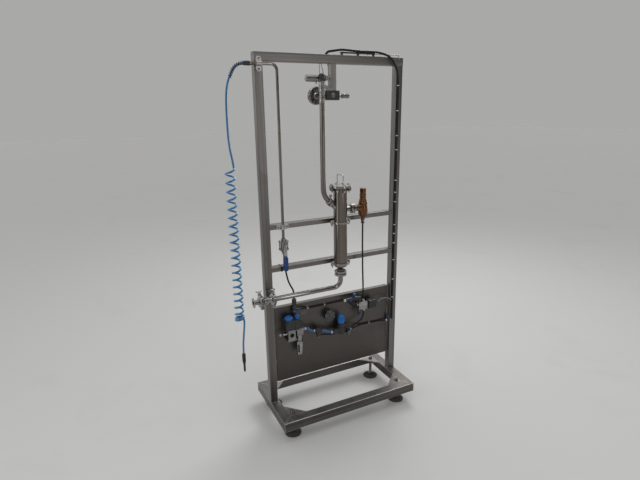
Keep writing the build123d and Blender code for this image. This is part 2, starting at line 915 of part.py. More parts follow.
# Silver blocks under the service unit and the bowl below them
head_x = unit_x - 9
side_x = unit_x + 39
head_low = unit_low - 64
side_low = unit_low - 42
head_depth = unit_depth - 8
side_depth = panel_face - gear_y + 14
with BuildPart() as filter_head:
    with BuildSketch(Plane.XZ.offset(-panel_face)):
        with Locations((head_x, unit_low - 34)):
            RectangleRounded(40, 60, 6)
        with Locations((head_x, unit_low - 5)):
            Rectangle(50, 10)
        with Locations((head_x, head_low + 6)):
            RectangleRounded(50, 12, 2)
    extrude(amount=head_depth)
    window = (head_x, panel_face - head_depth, unit_low - 30)
    add(turned(window, back, (0, 15), (3, 12), (8, 12)), mode=Mode.SUBTRACT)
    with BuildSketch(Plane.XZ.offset(-panel_face)):
        with Locations((side_x, unit_low - 21)):
            RectangleRounded(36, 42, 3)
    extrude(amount=side_depth)
    elbow = (head_x - 20, gear_y, unit_low - 22)
    add(turned(elbow, left, (0, 7), (8, 7), (8, 9), (24, 9), (26, 7)))
    tube_port = (side_x + 18, gear_y, unit_low - 16)
    add(turned(tube_port, right, (0, 9), (5, 9), (6, 8), (14, 8)))
keep(filter_head.part, "filter_head")

bowl_top = side_low
filter_bowl = turned(
    (side_x, gear_y, bowl_top),
    down,
    (0, 13),
    (36, 13),
    (38, 17),
    (88, 17),
    (95, 13),
    (98, 6),
    (103, 6),
)
keep(filter_bowl, "filter_bowl")

# Pressure gauge on the panel and the small one beside the regulator
reg_low = regulator_z - 27
with BuildPart() as gauges:
    add(
        turned(
            (gauge_x, panel_face, gauge_z),
            front,
            (0, gauge_radius - 3),
            (22, gauge_radius - 3),
            (22, gauge_radius),
            (28, gauge_radius),
            (28, gauge_radius - 3),
            (26, gauge_radius - 3),
        )
    )
    add(
        turned(
            (regulator_x + 37, gear_y - 10, reg_low + 1),
            front,
            (0, 12),
            (12, 14),
            (18, 14),
            (18, 12),
            (17, 12),
        )
    )
keep(gauges.part, "gauges")

# Pressure regulator with a knob that turns
port_z = regulator_z - 15
port_left = regulator_x - 50
port_right = regulator_x + 54
with BuildPart() as regulator_body:
    add(
        turned(
            (regulator_x, gear_y, reg_low - 8),
            up,
            (0, 14),
            (8, 24),
            (38, 24),
            (40, 21),
            (62, 21),
            (62, 10),
            (64, 10),
        )
    )
    add(bar((port_left, gear_y, port_z), right, 20, 30, port_right - port_left, 5))
    add(bar((regulator_x, gear_y, port_z), back, 30, 30, panel_face - gear_y, 3))
    add(bar((regulator_x + 37, gear_y, reg_low + 1), front, 14, 14, 10, 3))
keep(regulator_body.part, "regulator_body")

knob_base = reg_low + 56
knob_play = 0.3
with BuildPart() as regulator_knob:
    add(
        turned(
            (regulator_x, gear_y, knob_base + knob_play),
            up,
            (0, 17.5),
            (3, 18.5),
            (24, 18.5),
            (26, 17.5),
            (40, 17.5),
            (47, 14),
            (50, 8),
        )
    )
keep(regulator_knob.part, "regulator_knob")

# Solenoid valve with its ports, and its coil
valve_block = 56.0
block_low = solenoid_z - 24
with BuildPart() as solenoid_valve:
    with BuildSketch(Plane.XZ.offset(-panel_face)):
        with Locations((solenoid_x, solenoid_z)):
            RectangleRounded(valve_block, 48, 8)
    extrude(amount=panel_face - gear_y + 16)
    chamfer(solenoid_valve.faces().sort_by(Axis.Y)[0].edges(), 4)
    add(hexagon((solenoid_x + 4, gear_y, solenoid_z + 22), up, 11, 13))
    add(hexagon((solenoid_x + 8, gear_y, solenoid_z - 22), down, 11, 13))
    add(hexagon((solenoid_x - valve_block / 2 + 2, gear_y, solenoid_z + 10), left, 10, 12))
keep(solenoid_valve.part, "solenoid_valve")

coil_start = solenoid_x + valve_block / 2
coil_reach_x = 65.0
with BuildPart() as solenoid_coil:
    add(rod((coil_start, gear_y, solenoid_z), right, 14, 12))
    with BuildSketch(Plane((coil_start + 6, gear_y, solenoid_z), x_dir=back, z_dir=right)):
        RectangleRounded(40, 48, 6)
    extrude(amount=50)
    chamfer(solenoid_coil.faces().sort_by(Axis.X)[-1].edges(), 3)
    plug_face = coil_start + 56
    add(turned((plug_face, gear_y, solenoid_z), right, (0, 12), (6, 10), (9, 6)))
keep(solenoid_coil.part, "solenoid_coil")

bundle_radius = 5.5
bundle_x = post_x - 10
bundle_y = post_face - bundle_radius - 0.1
coil_cable = hose(
    [
        (coil_start + 65, gear_y, solenoid_z),
        (coil_start + 77, gear_y, solenoid_z),
        (coil_start + 96, gear_y, solenoid_z + 14),
        (bundle_x - 38, bundle_y - 4, solenoid_z + 10),
        (bundle_x - bundle_radius - 2, bundle_y, solenoid_z - 14),
    ],
    2.8,
    40.0,
)
keep(coil_cable, "coil_cable")

# Push-in fittings along the panel
feed_x = unit_x + 22
feed_y = -12.0
feed_top = panel_top + 40
side_port = (feed_x + 24, feed_y, panel_top - 24)
tube_start = side_x + 32
tee_x = tube_start + tee_share * (port_left - tube_start)
tee_z = unit_low - 48
valve_group = panel_top - 24
post_port = (half_width - post_size, -8.0, panel_top - elbow_drop)
with BuildPart() as push_fittings:
    # Feed tee above the service unit
    add(
        turned(
            (feed_x, feed_y, unit_top),
            up,
            (0, 7),
            (feed_top - unit_top - 78, 7),
            (feed_top - unit_top - 76, 11),
            (feed_top - unit_top - 46, 11),
            (feed_top - unit_top - 44, 8),
            (feed_top - unit_top - 30, 8),
            (feed_top - unit_top - 30, 12),
            (feed_top - unit_top - 2, 12),
            (feed_top - unit_top, 9),
        )
    )
    add(turned((feed_x, feed_y, panel_top - 24), right, (0, 8), (20, 8), (24, 6.5)))
    # Tee between the blue tubes
    add(turned((tee_x, gear_y, tee_z - 22), up, (0, 10), (4, 13), (38, 13), (42, 10)))
    add(rod((tee_x - 22, gear_y, tee_z + 8), right, 9, 20))
    add(rod((tee_x + 2, gear_y, tee_z - 4), right, 9, 20))
    add(bar((tee_x, gear_y, tee_z), back, 16, 16, panel_face - gear_y, 2))
    add(turned((tee_x, gear_y, tee_z - 32), up, (0, 7), (2, 9), (14, 9)))
    add(rod((tee_x, gear_y, tee_z - 26), right, 6.5, 14))
    # Hand valve above the solenoid valve
    add(
        turned(
            (solenoid_x - 20, gear_y, valve_group),
            left,
            (0, 8),
            (16, 8),
            (18, 11),
            (44, 11),
            (46, 9),
            (86, 9),
            (88, 7),
        )
    )
    add(rod((solenoid_x - 20, gear_y, solenoid_z + 24), up, 8, valve_group - solenoid_z - 18))
    add(turned((solenoid_x - 52, gear_y, valve_group), up, (0, 7), (16, 7), (18, 9), (28, 9), (31, 6)))
    # Elbow under the solenoid valve
    add(turned((solenoid_x - 20, gear_y, block_low), down, (0, 6), (6, 6), (8, 10), (30, 10), (33, 7)))
    # Elbow on the right post
    add(rod(post_port, left, 7, 18))
    add(turned((half_width - post_size - 9, -8, panel_top - elbow_drop), up, (0, 8), (26, 8), (28, 6), (36, 6)))
keep(push_fittings.part, "push_fittings")

# Blue tubes between the blocks
with BuildPart() as blue_tubes:
    first_lead = (tee_x - 22 - tube_start) / 4
    second_lead = (port_left - tee_x - 22) / 4
    first_top = unit_low - 16
    first_low = tee_z + 8
    second_low = port_z + 1
    add(
        hose(
            [
                (tube_start, gear_y, first_top),
                (tube_start + first_lead, gear_y, first_top),
                (tee_x - 22 - first_lead, gear_y, first_low),
                (tee_x - 22, gear_y, first_low),
            ],
            blue_tube,
            40.0,
        )
    )
    add(
        hose(
            [
                (tee_x + 22, gear_y, tee_z - 4),
                (tee_x + 22 + second_lead, gear_y, tee_z - 4),
                (port_left - second_lead, gear_y, second_low),
                (port_left, gear_y, second_low),
            ],
            blue_tube,
            40.0,
        )
    )
keep(blue_tubes.part, "blue_tubes")

# Black hoses between the fittings
flat_y = panel_face - small_hose - 0.2
hose_z = panel_top - 35
with BuildPart() as panel_hoses:
    add(
        hose(
            [
                side_port,
                (side_port[0] + 14, feed_y, side_port[2]),
                (side_port[0] + 60, flat_y, hose_z),
                (solenoid_x - 90, flat_y, hose_z),
                (solenoid_x - 62, gear_y, solenoid_z + 10),
                (solenoid_x - valve_block / 2 - 10, gear_y, solenoid_z + 10),
            ],
            small_hose,
            50.0,
        )
    )
    add(
        hose(
            [
                (port_right, gear_y, port_z - 6),
                (port_right + 14, gear_y, port_z - 6),
                (port_right + 90, flat_y, port_z - 12),
                (half_width - 110, flat_y, port_z - 16),
                (half_width - post_size - 32, -8, panel_top - elbow_drop),
                (half_width - post_size - 18, -8, panel_top - elbow_drop),
            ],
            small_hose,
            50.0,
        )
    )
    add(
        hose(
            [
                (port_right, gear_y, port_z + 6),
                (port_right + 14, gear_y, port_z + 6),
                (solenoid_x - 2, gear_y, block_low - 62),
                (solenoid_x + 8, gear_y, block_low - 32),
                (solenoid_x + 8, gear_y, block_low - 11),
            ],
            small_hose,
            40.0,
        )
    )
    add(
        hose(
            [
                (tee_x + 14, gear_y, tee_z - 26),
                (tee_x + 26, gear_y, tee_z - 26),
                (port_left - 16, gear_y, port_z - 10),
                (port_left, gear_y, port_z - 10),
            ],
            small_hose,
            40.0,
        )
    )
keep(panel_hoses.part, "panel_hoses")

# Hoses from the safety valve and from the ball valve
relief_drop = nut_low - solenoid_z - 35
relief_hose = hose(
    [
        (valve_x, shell_y, nut_low),
        (valve_x, shell_y, nut_low - 0.25 * relief_drop),
        (valve_x + 12, shell_y + 16, nut_low - 0.56 * relief_drop),
        (solenoid_x + 4, gear_y, nut_low - 0.82 * relief_drop),
        (solenoid_x + 4, gear_y, solenoid_z + 35),
    ],
    small_hose,
    160.0,
)
keep(relief_hose, "relief_hose")

feed_drop = ball_low - feed_top
feed_hose = hose(
    [
        (air_x, air_y, ball_low),
        (air_x, air_y, ball_low - 0.28 * feed_drop),
        (air_x + 20, air_y + 4, ball_low - 0.62 * feed_drop),
        (feed_x, feed_y, ball_low - 0.84 * feed_drop),
        (feed_x, feed_y, feed_top),
    ],
    small_hose,
    160.0,
)
keep(feed_hose, "feed_hose")

# Nut and spring guard at the left end of the air tube
guard_radius = 8.5
guard_end = (air_left - 98, air_y, air_z - 51)
with BuildPart() as hose_relief:
    add(
        turned(
            (air_left, air_y, air_z),
            left,
            (0, air_radius),
            (8, air_radius),
            (8, 9.5),
            (36, 9.5),
            (40, guard_radius),
        )
    )
    add(
        hose(
            [
                (air_left - 40, air_y, air_z),
                (air_left - 56, air_y, air_z),
                (air_left - 82, air_y, air_z - 18),
                guard_end,
            ],
            guard_radius,
            60.0,
        )
    )
keep(hose_relief.part, "hose_relief")

# Spiral air hose hanging from the guard
upper_points = [
    guard_end,
    (coil_x + 15, air_y, air_z - 82),
    (coil_x + 4, air_y, air_z - 145),
    (coil_x + 2, air_y, air_z - 275),
    (coil_x + 6, air_y, coil_top + 90),
    (coil_x + 16, air_y, coil_top + 36),
    (coil_x + 16, air_y, coil_top),
]
hose_upper = hose(upper_points, hose_radius, 200.0)
keep(hose_upper, "hose_upper")
print("upper hose radii", [round(r) for r in bend_radii(upper_points, 200.0)])

hose_coil = rod((coil_x, air_y, coil_bottom), up, coil_radius, coil_length)
keep(hose_coil, "hose_coil")

end_x = coil_x + 8
end_top = coil_bottom - 177
lower_points = [
    (coil_x + 19, air_y, coil_bottom),
    (coil_x + 19, air_y, coil_bottom - 40),
    (end_x, air_y, end_top + 50),
    (end_x, air_y, end_top),
]
hose_lower = hose(lower_points, hose_radius, 200.0)
keep(hose_lower, "hose_lower")
print("lower hose radii", [round(r) for r in bend_radii(lower_points, 200.0)])

hose_end = turned(
    (end_x, air_y, end_top),
    down,
    (0, 7),
    (4, 9),
    (46, 9),
    (50, 7),
    (56, 7),
    (58, 5.5),
    (96, 5.5),
    (102, 4),
)
keep(hose_end, "hose_end")

# Cable bundle over the beam and down the right post
cable_bundle = hose(
    [
        (block_right - 30, post_back, flange_z),
        (block_right - 30, post_back + 18, flange_z),
        (block_right - 30, post_back + 18, stand_height - 40),
        (block_right - 60, post_back + 14, stand_height + 16),
        (strip_left + 10, post_y + 4, strip_low + 6 + bundle_radius + 6),
        (strip_left + 110, post_y, strip_low + 6 + bundle_radius + 0.2),
        (bundle_x - 110, post_y - 6, strip_low + 6 + bundle_radius),
        (bundle_x - 60, bundle_y - 10, stand_height + 2),
        (bundle_x - 16, bundle_y - 8, stand_height - 56),
        (bundle_x, bundle_y, stand_height - 130),
        (bundle_x, bundle_y, panel_top - 205),
    ],
    bundle_radius,
    80.0,
)
keep(cable_bundle, "cable_bundle")

os.makedirs("parts", exist_ok=True)
for piece in pieces:
    export_step(piece, f"parts/{piece.label}.step")
print(len(pieces), "pieces")
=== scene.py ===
"""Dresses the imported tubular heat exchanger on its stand: finishes, air hose, small fittings and stage."""

import json
import math

import bmesh
import bpy
from bpy.props import FloatProperty, FloatVectorProperty, IntProperty, PointerProperty
from mathutils import Matrix, Vector

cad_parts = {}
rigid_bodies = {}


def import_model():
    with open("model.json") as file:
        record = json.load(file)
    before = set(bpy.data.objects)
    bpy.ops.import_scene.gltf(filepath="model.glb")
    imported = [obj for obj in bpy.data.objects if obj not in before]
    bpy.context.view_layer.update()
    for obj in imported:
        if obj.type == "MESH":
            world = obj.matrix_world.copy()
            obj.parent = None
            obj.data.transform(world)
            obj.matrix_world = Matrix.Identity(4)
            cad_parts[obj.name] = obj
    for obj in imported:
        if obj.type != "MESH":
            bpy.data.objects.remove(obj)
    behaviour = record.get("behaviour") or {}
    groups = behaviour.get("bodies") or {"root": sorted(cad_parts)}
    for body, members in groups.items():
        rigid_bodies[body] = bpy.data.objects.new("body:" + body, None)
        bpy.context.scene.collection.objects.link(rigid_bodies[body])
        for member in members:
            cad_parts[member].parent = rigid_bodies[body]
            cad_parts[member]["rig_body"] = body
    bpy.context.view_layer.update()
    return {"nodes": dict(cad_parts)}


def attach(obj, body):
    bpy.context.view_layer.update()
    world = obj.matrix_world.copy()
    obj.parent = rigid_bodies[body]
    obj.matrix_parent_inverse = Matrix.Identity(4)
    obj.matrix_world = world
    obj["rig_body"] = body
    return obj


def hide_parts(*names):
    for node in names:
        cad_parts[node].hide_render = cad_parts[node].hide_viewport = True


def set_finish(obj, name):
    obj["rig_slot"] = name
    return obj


bl_info = {
    "name": "Heat exchanger stand",
    "version": (1, 0, 0),
    "blender": (4, 5, 0),
    "location": "3D View > Sidebar > Exchanger",
    "description": "Finishes, air hose, small fittings and stage of the tubular heat exchanger",
    "category": "Object",
}

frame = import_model()
nodes = frame["nodes"]

# Places in the drawing, in millimetres

SHIFT = 42.0
PIPE_Y = -70
AIR_Y = -24
GEAR_Y = -30
AIR_Z = 1848
POST_X, POST_Y, POST_HALF = 380, 6, 20
BASE_TOP, BEAM_BOTTOM = 120, 1860
RAIL_HEIGHTS = (1095, 875)
OUTLET_X, FERRULE_X, OUTLET_Z = -381, -445, 745
SENSOR_X, SENSOR_Z, PLUG_Z = -107, 1793, 1713
BALL_X = -297
VALVE_X = 133
DIAL_X, DIAL_Z = -42, 563
SMALL_DIAL_X, SMALL_DIAL_Z = 61, 454
UNIT_X, CAP_X, BOWL_X = -277, -287, -229
KNOB_X = 24
COIL_Z = 588

RIGHT, LEFT = Vector((1, 0, 0)), Vector((-1, 0, 0))
BACK, FORWARD = Vector((0, 1, 0)), Vector((0, -1, 0))
UP, DOWN = Vector((0, 0, 1)), Vector((0, 0, -1))
SIDES = (-1, 1)
CORNERS = ((-1, -1), (-1, 1), (1, -1), (1, 1))
SQUARE = ((-1, -1), (1, -1), (1, 1), (-1, 1))


def at(x, y, z):
    """A point of the drawing, in millimetres, as metres in the frame."""
    return Vector((x + SHIFT, y, z)) / 1000


def across(direction):
    """Two directions at right angles to a given one, and that one at unit length."""
    z = Vector(direction).normalized()
    x = UP.cross(z)
    x = Vector((1, 0, 0)) if x.length < 1e-4 else x.normalized()
    return x, z.cross(x), z


def circle(count, first=0.0):
    """Evenly spaced angles of a full turn."""
    return [first + math.tau * i / count for i in range(count)]


def arc(radius, first, sweep, steps):
    """Points of an arc around zero as pairs, with its angles in degrees."""
    angles = [math.radians(first + sweep * i / steps) for i in range(steps + 1)]
    return [(radius * math.cos(a), radius * math.sin(a)) for a in angles]


# Mesh of a piece


class Blank:
    """The mesh of one piece while it is being made; sizes are in millimetres."""

    def __init__(self):
        self.mesh = bmesh.new()
        self.slot = 0

    def face(self, corners):
        made = self.mesh.faces.new(corners)
        made.material_index = self.slot

    def skin(self, loops, closed=False):
        """Joins a row of equal loops of points with faces, and closes both ends."""
        made = [[self.mesh.verts.new(point) for point in loop] for loop in loops]
        pairs = list(zip(made, made[1:]))
        if closed:
            pairs.append((made[-1], made[0]))
        else:
            self.face(list(reversed(made[0])))
            self.face(made[-1])
        for low, high in pairs:
            for i, corner in enumerate(low):
                j = (i + 1) % len(low)
                self.face((corner, low[j], high[j], high[i]))

    def turned(self, start, direction, steps, sides=32, turn=0.0, closed=False):
        """A turned or many-sided body from steps of reach along its axis and radius."""
        x, y, z = across(direction)
        loops = []
        for reach, radius in steps:
            centre = start + z * (reach / 1000)
            spread = max(radius, 0.02) / 1000
            angles = circle(sides, math.radians(turn))
            loops.append([centre + (x * math.cos(a) + y * math.sin(a)) * spread for a in angles])
        self.skin(loops, closed)

    def band(self, middle, direction, radius, depth, half, sides=48):
        """A flat closed ring around an axis, such as a seal or a strap."""
        steps = [(-half, radius - depth), (-half, radius), (half, radius), (half, radius - depth)]
        self.turned(middle, direction, steps, sides, closed=True)

    def tube(self, points, radius, sides=10, closed=False):
        """A round wire along points in metres; radius is one number or one for each point."""
        radii = radius if isinstance(radius, list) else [radius] * len(points)
        loops = []
        side = None
        for i, point in enumerate(points):
            before = points[i - 1] if i or closed else points[i]
            after = points[(i + 1) % len(points)] if i < len(points) - 1 or closed else points[i]
            ahead = (after - before).normalized()
            if side is None:
                side = across(ahead)[0]
            side = (side - ahead * side.dot(ahead)).normalized()
            other = ahead.cross(side)
            reach = radii[i] / 1000
            loops.append(
                [point + (side * math.cos(a) + other * math.sin(a)) * reach for a in circle(sides)]
            )
        self.skin(loops, closed)

    def ribs(self, start, direction, reach, length, count, thickness, first=0.0):
        """Fine straight ribs along an axis, spaced evenly around a round body."""
        x, y, z = across(direction)
        for a in circle(count, first):
            foot = start + (x * math.cos(a) + y * math.sin(a)) * (reach / 1000)
            self.tube([foot, foot + z * (length / 1000)], thickness, 6)

    def block(self, middle, size, turn=0.0):
        """A block around its middle, turned about the upright axis by degrees."""
        spin = Matrix.Rotation(math.radians(turn), 3, "Z")
        half = Vector(size) / 2000
        loops = [
            [middle + spin @ Vector((half.x * a, half.y * b, half.z * side)) for a, b in SQUARE]
            for side in SIDES
        ]
        self.skin(loops)

    def hex_head(self, seat, direction, thread, turn=0.0):
        """A washer and a hexagonal head with its corners chamfered."""
        wide, tall, washer = 0.93 * thread, 0.66 * thread, 0.14 * thread
        self.turned(seat, direction, [(0, 1.12 * thread), (washer, 1.12 * thread)], 28)
        foot = seat + across(direction)[2] * (washer / 1000)
        self.turned(foot, direction, [(0, wide), (0.78 * tall, wide), (tall, 0.84 * wide)], 6, turn)
        self.turned(foot, direction, [(0.9 * tall, 0.8 * wide), (tall * 1.02, 0.76 * wide)], 24)

    def hex_nut(self, seat, direction, thread, turn=0.0, stub=0.6):
        """A washer, a hexagonal nut and the end of its bolt with turned threads."""
        self.hex_head(seat, direction, thread, turn)
        foot = seat + across(direction)[2] * (0.78 * thread / 1000)
        self.threads(foot, direction, thread / 2, stub * thread, thread * 0.16)

    def socket_head(self, seat, direction, thread):
        """A round screw head with its hexagonal socket, a flat disc which takes the next finish, painted
        near black as the shade in the socket.
        """
        reach, tall, hollow = 0.82 * thread, 0.9 * thread, 0.46 * thread
        self.turned(seat, direction, [(0, reach), (0.8 * tall, reach), (tall, 0.9 * reach)], 24)
        top = seat + across(direction)[2] * (tall / 1000)
        self.slot += 1
        self.turned(top, direction, [(-0.02, hollow), (0.03, hollow)], 6)
        self.slot -= 1

    def pan_head(self, seat, direction, r):
        """A low domed screw head with a cross recess, a raised cross which takes the next finish, painted
        near black as the shade in the recess.
        """
        dome = [(0, r), (0.25 * r, 0.97 * r), (0.45 * r, 0.8 * r), (0.55 * r, 0.5 * r), (0.57 * r, 0.1)]
        self.turned(seat, direction, dome, 24)
        x, y, z = across(direction)
        middle = seat + z * (0.5 * r / 1000)
        top = middle + z * (0.09 * r / 1000)
        self.slot += 1
        for side, other in ((x, y), (y, x)):
            a, b = side * (0.55 * r / 1000), other * (0.11 * r / 1000)
            loop = [-a - b, a - b, a + b, -a + b]
            self.skin([[middle + p for p in loop], [top + p for p in loop]])
        self.slot -= 1

    def threads(self, start, direction, radius, length, pitch):
        """The ridges of a screw thread along an axis."""
        turns = max(1, int(length / pitch))
        steps = []
        for i in range(turns):
            steps += [(i * pitch, radius * 0.9), ((i + 0.5) * pitch, radius)]
        steps += [(turns * pitch, radius * 0.9), (turns * pitch + 0.2 * radius, radius * 0.7)]
        self.turned(start, direction, steps, 20)

    def piece(self, name, body, slot, *names, soften=0.0, crease=38.0):
        """Makes the object, with smooth faces between its sharp edges."""
        bmesh.ops.recalc_face_normals(self.mesh, faces=self.mesh.faces)
        for edge in self.mesh.edges:
            folded = edge.calc_face_angle(0) >= math.radians(crease)
            edge.smooth = len(edge.link_faces) == 2 and not folded
        for made in self.mesh.faces:
            made.smooth = True
        mesh = bpy.data.meshes.new(name)
        self.mesh.to_mesh(mesh)
        self.mesh.free()
        made = bpy.data.objects.new(name, mesh)
        bpy.context.scene.collection.objects.link(made)
        for finish in names:
            mesh.materials.append(finishes[finish])
        if soften:
            round_edges(made, soften)
        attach(made, body)
        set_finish(made, slot)
        return made


def round_edges(made, width, segments=2):
    """Rounds the sharp edges of an object a little, so that they catch light."""
    bevel = made.modifiers.new("Rounded edges", "BEVEL")
    bevel.width = width / 1000
    bevel.segments = segments
    bevel.limit_method = "ANGLE"
    bevel.angle_limit = math.radians(40)
    bevel.harden_normals = False
    return bevel


# Effects that the finishes share

SPECKLES = 23.0


def plug(tree, given, socket):
    """Links a socket to another, or gives it a plain value."""
    if hasattr(given, "is_output"):
        tree.links.new(given, socket)
    else:
        socket.default_value = given


def new_effect(name, inputs, outputs):
    """An empty shader node group with its sockets, and its two end nodes."""
    tree = bpy.data.node_groups.new(name, "ShaderNodeTree")
    tree.interface.new_socket(name="Vector", in_out="INPUT", socket_type="NodeSocketVector")
    for label, kind, value in inputs:
        socket = tree.interface.new_socket(name=label, in_out="INPUT", socket_type=kind)
        socket.default_value = value
    for label, kind in outputs:
        tree.interface.new_socket(name=label, in_out="OUTPUT", socket_type=kind)
    given, out = tree.nodes.new("NodeGroupInput"), tree.nodes.new("NodeGroupOutput")
    return tree, given.outputs, out.inputs


def ranged(tree, value, low, high, start=0.0, end=1.0):
    """A value stretched from one range to another, held at its ends."""
    node = tree.nodes.new("ShaderNodeMapRange")
    tree.links.new(value, node.inputs["Value"])
    for label, given in (("From Min", low), ("From Max", high), ("To Min", start), ("To Max", end)):
        plug(tree, given, node.inputs[label])
    return node.outputs["Result"]


def arithmetic(tree, operation, first, second):
    """One Math node on two values or sockets."""
    node = tree.nodes.new("ShaderNodeMath")
    node.operation = operation
    plug(tree, first, node.inputs[0])
    plug(tree, second, node.inputs[1])
    return node.outputs[0]


def noise_on(tree, vector, scale=1.0, detail=3.0, rough=0.6, twist=0.0):
    """A noise texture's value."""
    node = tree.nodes.new("ShaderNodeTexNoise")
    for label, given in (
        ("Vector", vector),
        ("Scale", scale),
        ("Detail", detail),
        ("Roughness", rough),
        ("Distortion", twist),
    ):
        plug(tree, given, node.inputs[label])
    return node.outputs["Fac"]


def stretched(tree, vector, stretch):
    """A vector multiplied by another, socket or numbers."""
    node = tree.nodes.new("ShaderNodeVectorMath")
    node.operation = "MULTIPLY"
    plug(tree, vector, node.inputs[0])
    plug(tree, stretch, node.inputs[1])
    return node.outputs[0]


def blended(tree, share, first, second):
    """A number between two, by a share."""
    node = tree.nodes.new("ShaderNodeMix")
    node.data_type = "FLOAT"
    for label, given in (("Factor", share), ("A", first), ("B", second)):
        plug(tree, given, node.inputs[label])
    return node.outputs["Result"]


def effect_drawn_lines():
    """Long fine lines that drawing, rolling or brushing leaves in steel."""
    tree, given, out = new_effect(
        "Drawn lines",
        (("Stretch", "NodeSocketVector", (900.0, 900.0, 9.0)),),
        (("Lines", "NodeSocketFloat"), ("Bands", "NodeSocketFloat")),
    )
    fine = stretched(tree, given["Vector"], given["Stretch"])
    lines = ranged(tree, noise_on(tree, fine, 1.0, 4.0, 0.7), 0.3, 0.7)
    broad = stretched(tree, fine, (0.13, 0.13, 0.13))
    bands = ranged(tree, noise_on(tree, broad, 1.0, 3.0, 0.55), 0.32, 0.68)
    tree.links.new(lines, out["Lines"])
    tree.links.new(bands, out["Bands"])


def effect_patches():
    """Uneven patches, such as handling marks, dried water and cloudy polish."""
    tree, given, out = new_effect(
        "Patches",
        (("Scale", "NodeSocketFloat", 12.0), ("Cover", "NodeSocketFloat", 0.5)),
        (("Mask", "NodeSocketFloat"), ("Speckle", "NodeSocketFloat")),
    )
    cloud = noise_on(tree, given["Vector"], given["Scale"], 5.0, 0.6, 0.7)
    edge = arithmetic(tree, "SUBTRACT", 0.95, arithmetic(tree, "MULTIPLY", given["Cover"], 0.75))
    top = arithmetic(tree, "ADD", edge, 0.25)
    tree.links.new(ranged(tree, cloud, edge, top), out["Mask"])
    fine = arithmetic(tree, "MULTIPLY", given["Scale"], SPECKLES)
    speckle = noise_on(tree, given["Vector"], fine, 2.0, 0.5)
    tree.links.new(ranged(tree, speckle, 0.35, 0.65), out["Speckle"])


def effect_edge_wear_and_glint():
    """Edges rubbed bright, a mask that the finishes use for wear and also as a painted highlight along
    edges, and a normal that rounds them.
    """
    tree, given, out = new_effect(
        "Edge wear and painted glint",
        (("Radius", "NodeSocketFloat", 0.001),),
        (("Mask", "NodeSocketFloat"), ("Normal", "NodeSocketVector")),
    )
    rounded = tree.nodes.new("ShaderNodeBevel")
    rounded.samples = 4
    tree.links.new(given["Radius"], rounded.inputs["Radius"])
    shape = tree.nodes.new("ShaderNodeNewGeometry")
    turn = tree.nodes.new("ShaderNodeVectorMath")
    turn.operation = "DOT_PRODUCT"
    tree.links.new(rounded.outputs["Normal"], turn.inputs[0])
    tree.links.new(shape.outputs["Normal"], turn.inputs[1])
    bent = arithmetic(tree, "SUBTRACT", 1.0, turn.outputs["Value"])
    edge_wear_and_glint = ranged(tree, noise_on(tree, given["Vector"], 160.0, 3.0, 0.6), 0.35, 0.6)
    # The edge mask stands for wear and also for a painted highlight along edges.
    mask = arithmetic(tree, "MULTIPLY", ranged(tree, bent, 0.01, 0.16), edge_wear_and_glint)
    tree.links.new(mask, out["Mask"])
    tree.links.new(rounded.outputs["Normal"], out["Normal"])


def effect_settled_dust():
    """Dust that settles on what faces up."""
    tree, given, out = new_effect(
        "Settled dust", (("Amount", "NodeSocketFloat", 0.5),), (("Mask", "NodeSocketFloat"),)
    )
    shape = tree.nodes.new("ShaderNodeNewGeometry")
    parts = tree.nodes.new("ShaderNodeSeparateXYZ")
    tree.links.new(shape.outputs["Normal"], parts.inputs[0])
    facing = ranged(tree, parts.outputs["Z"], 0.55, 0.95)
    cloud = ranged(tree, noise_on(tree, given["Vector"], 28.0, 6.0, 0.7, 0.4), 0.3, 0.75)
    dusty = arithmetic(tree, "MULTIPLY", facing, arithmetic(tree, "ADD", cloud, 0.25))
    tree.links.new(arithmetic(tree, "MULTIPLY", dusty, given["Amount"]), out["Mask"])


# Finishes

finishes = {}

UPRIGHT, LENGTHWISE, DEPTHWISE = (700, 700, 7), (7, 700, 700), (700, 7, 700)
# Pale edge colours: worn steel that also serves as a painted highlight along edges.
EDGE_WEAR_AND_GLINT_STEEL, EDGE_WEAR_AND_GLINT_POLISH = (0.62, 0.61, 0.6), (0.66, 0.65, 0.64)
STEEL_DUST, PLASTIC_DUST = (0.3, 0.285, 0.265), (0.3, 0.29, 0.27)


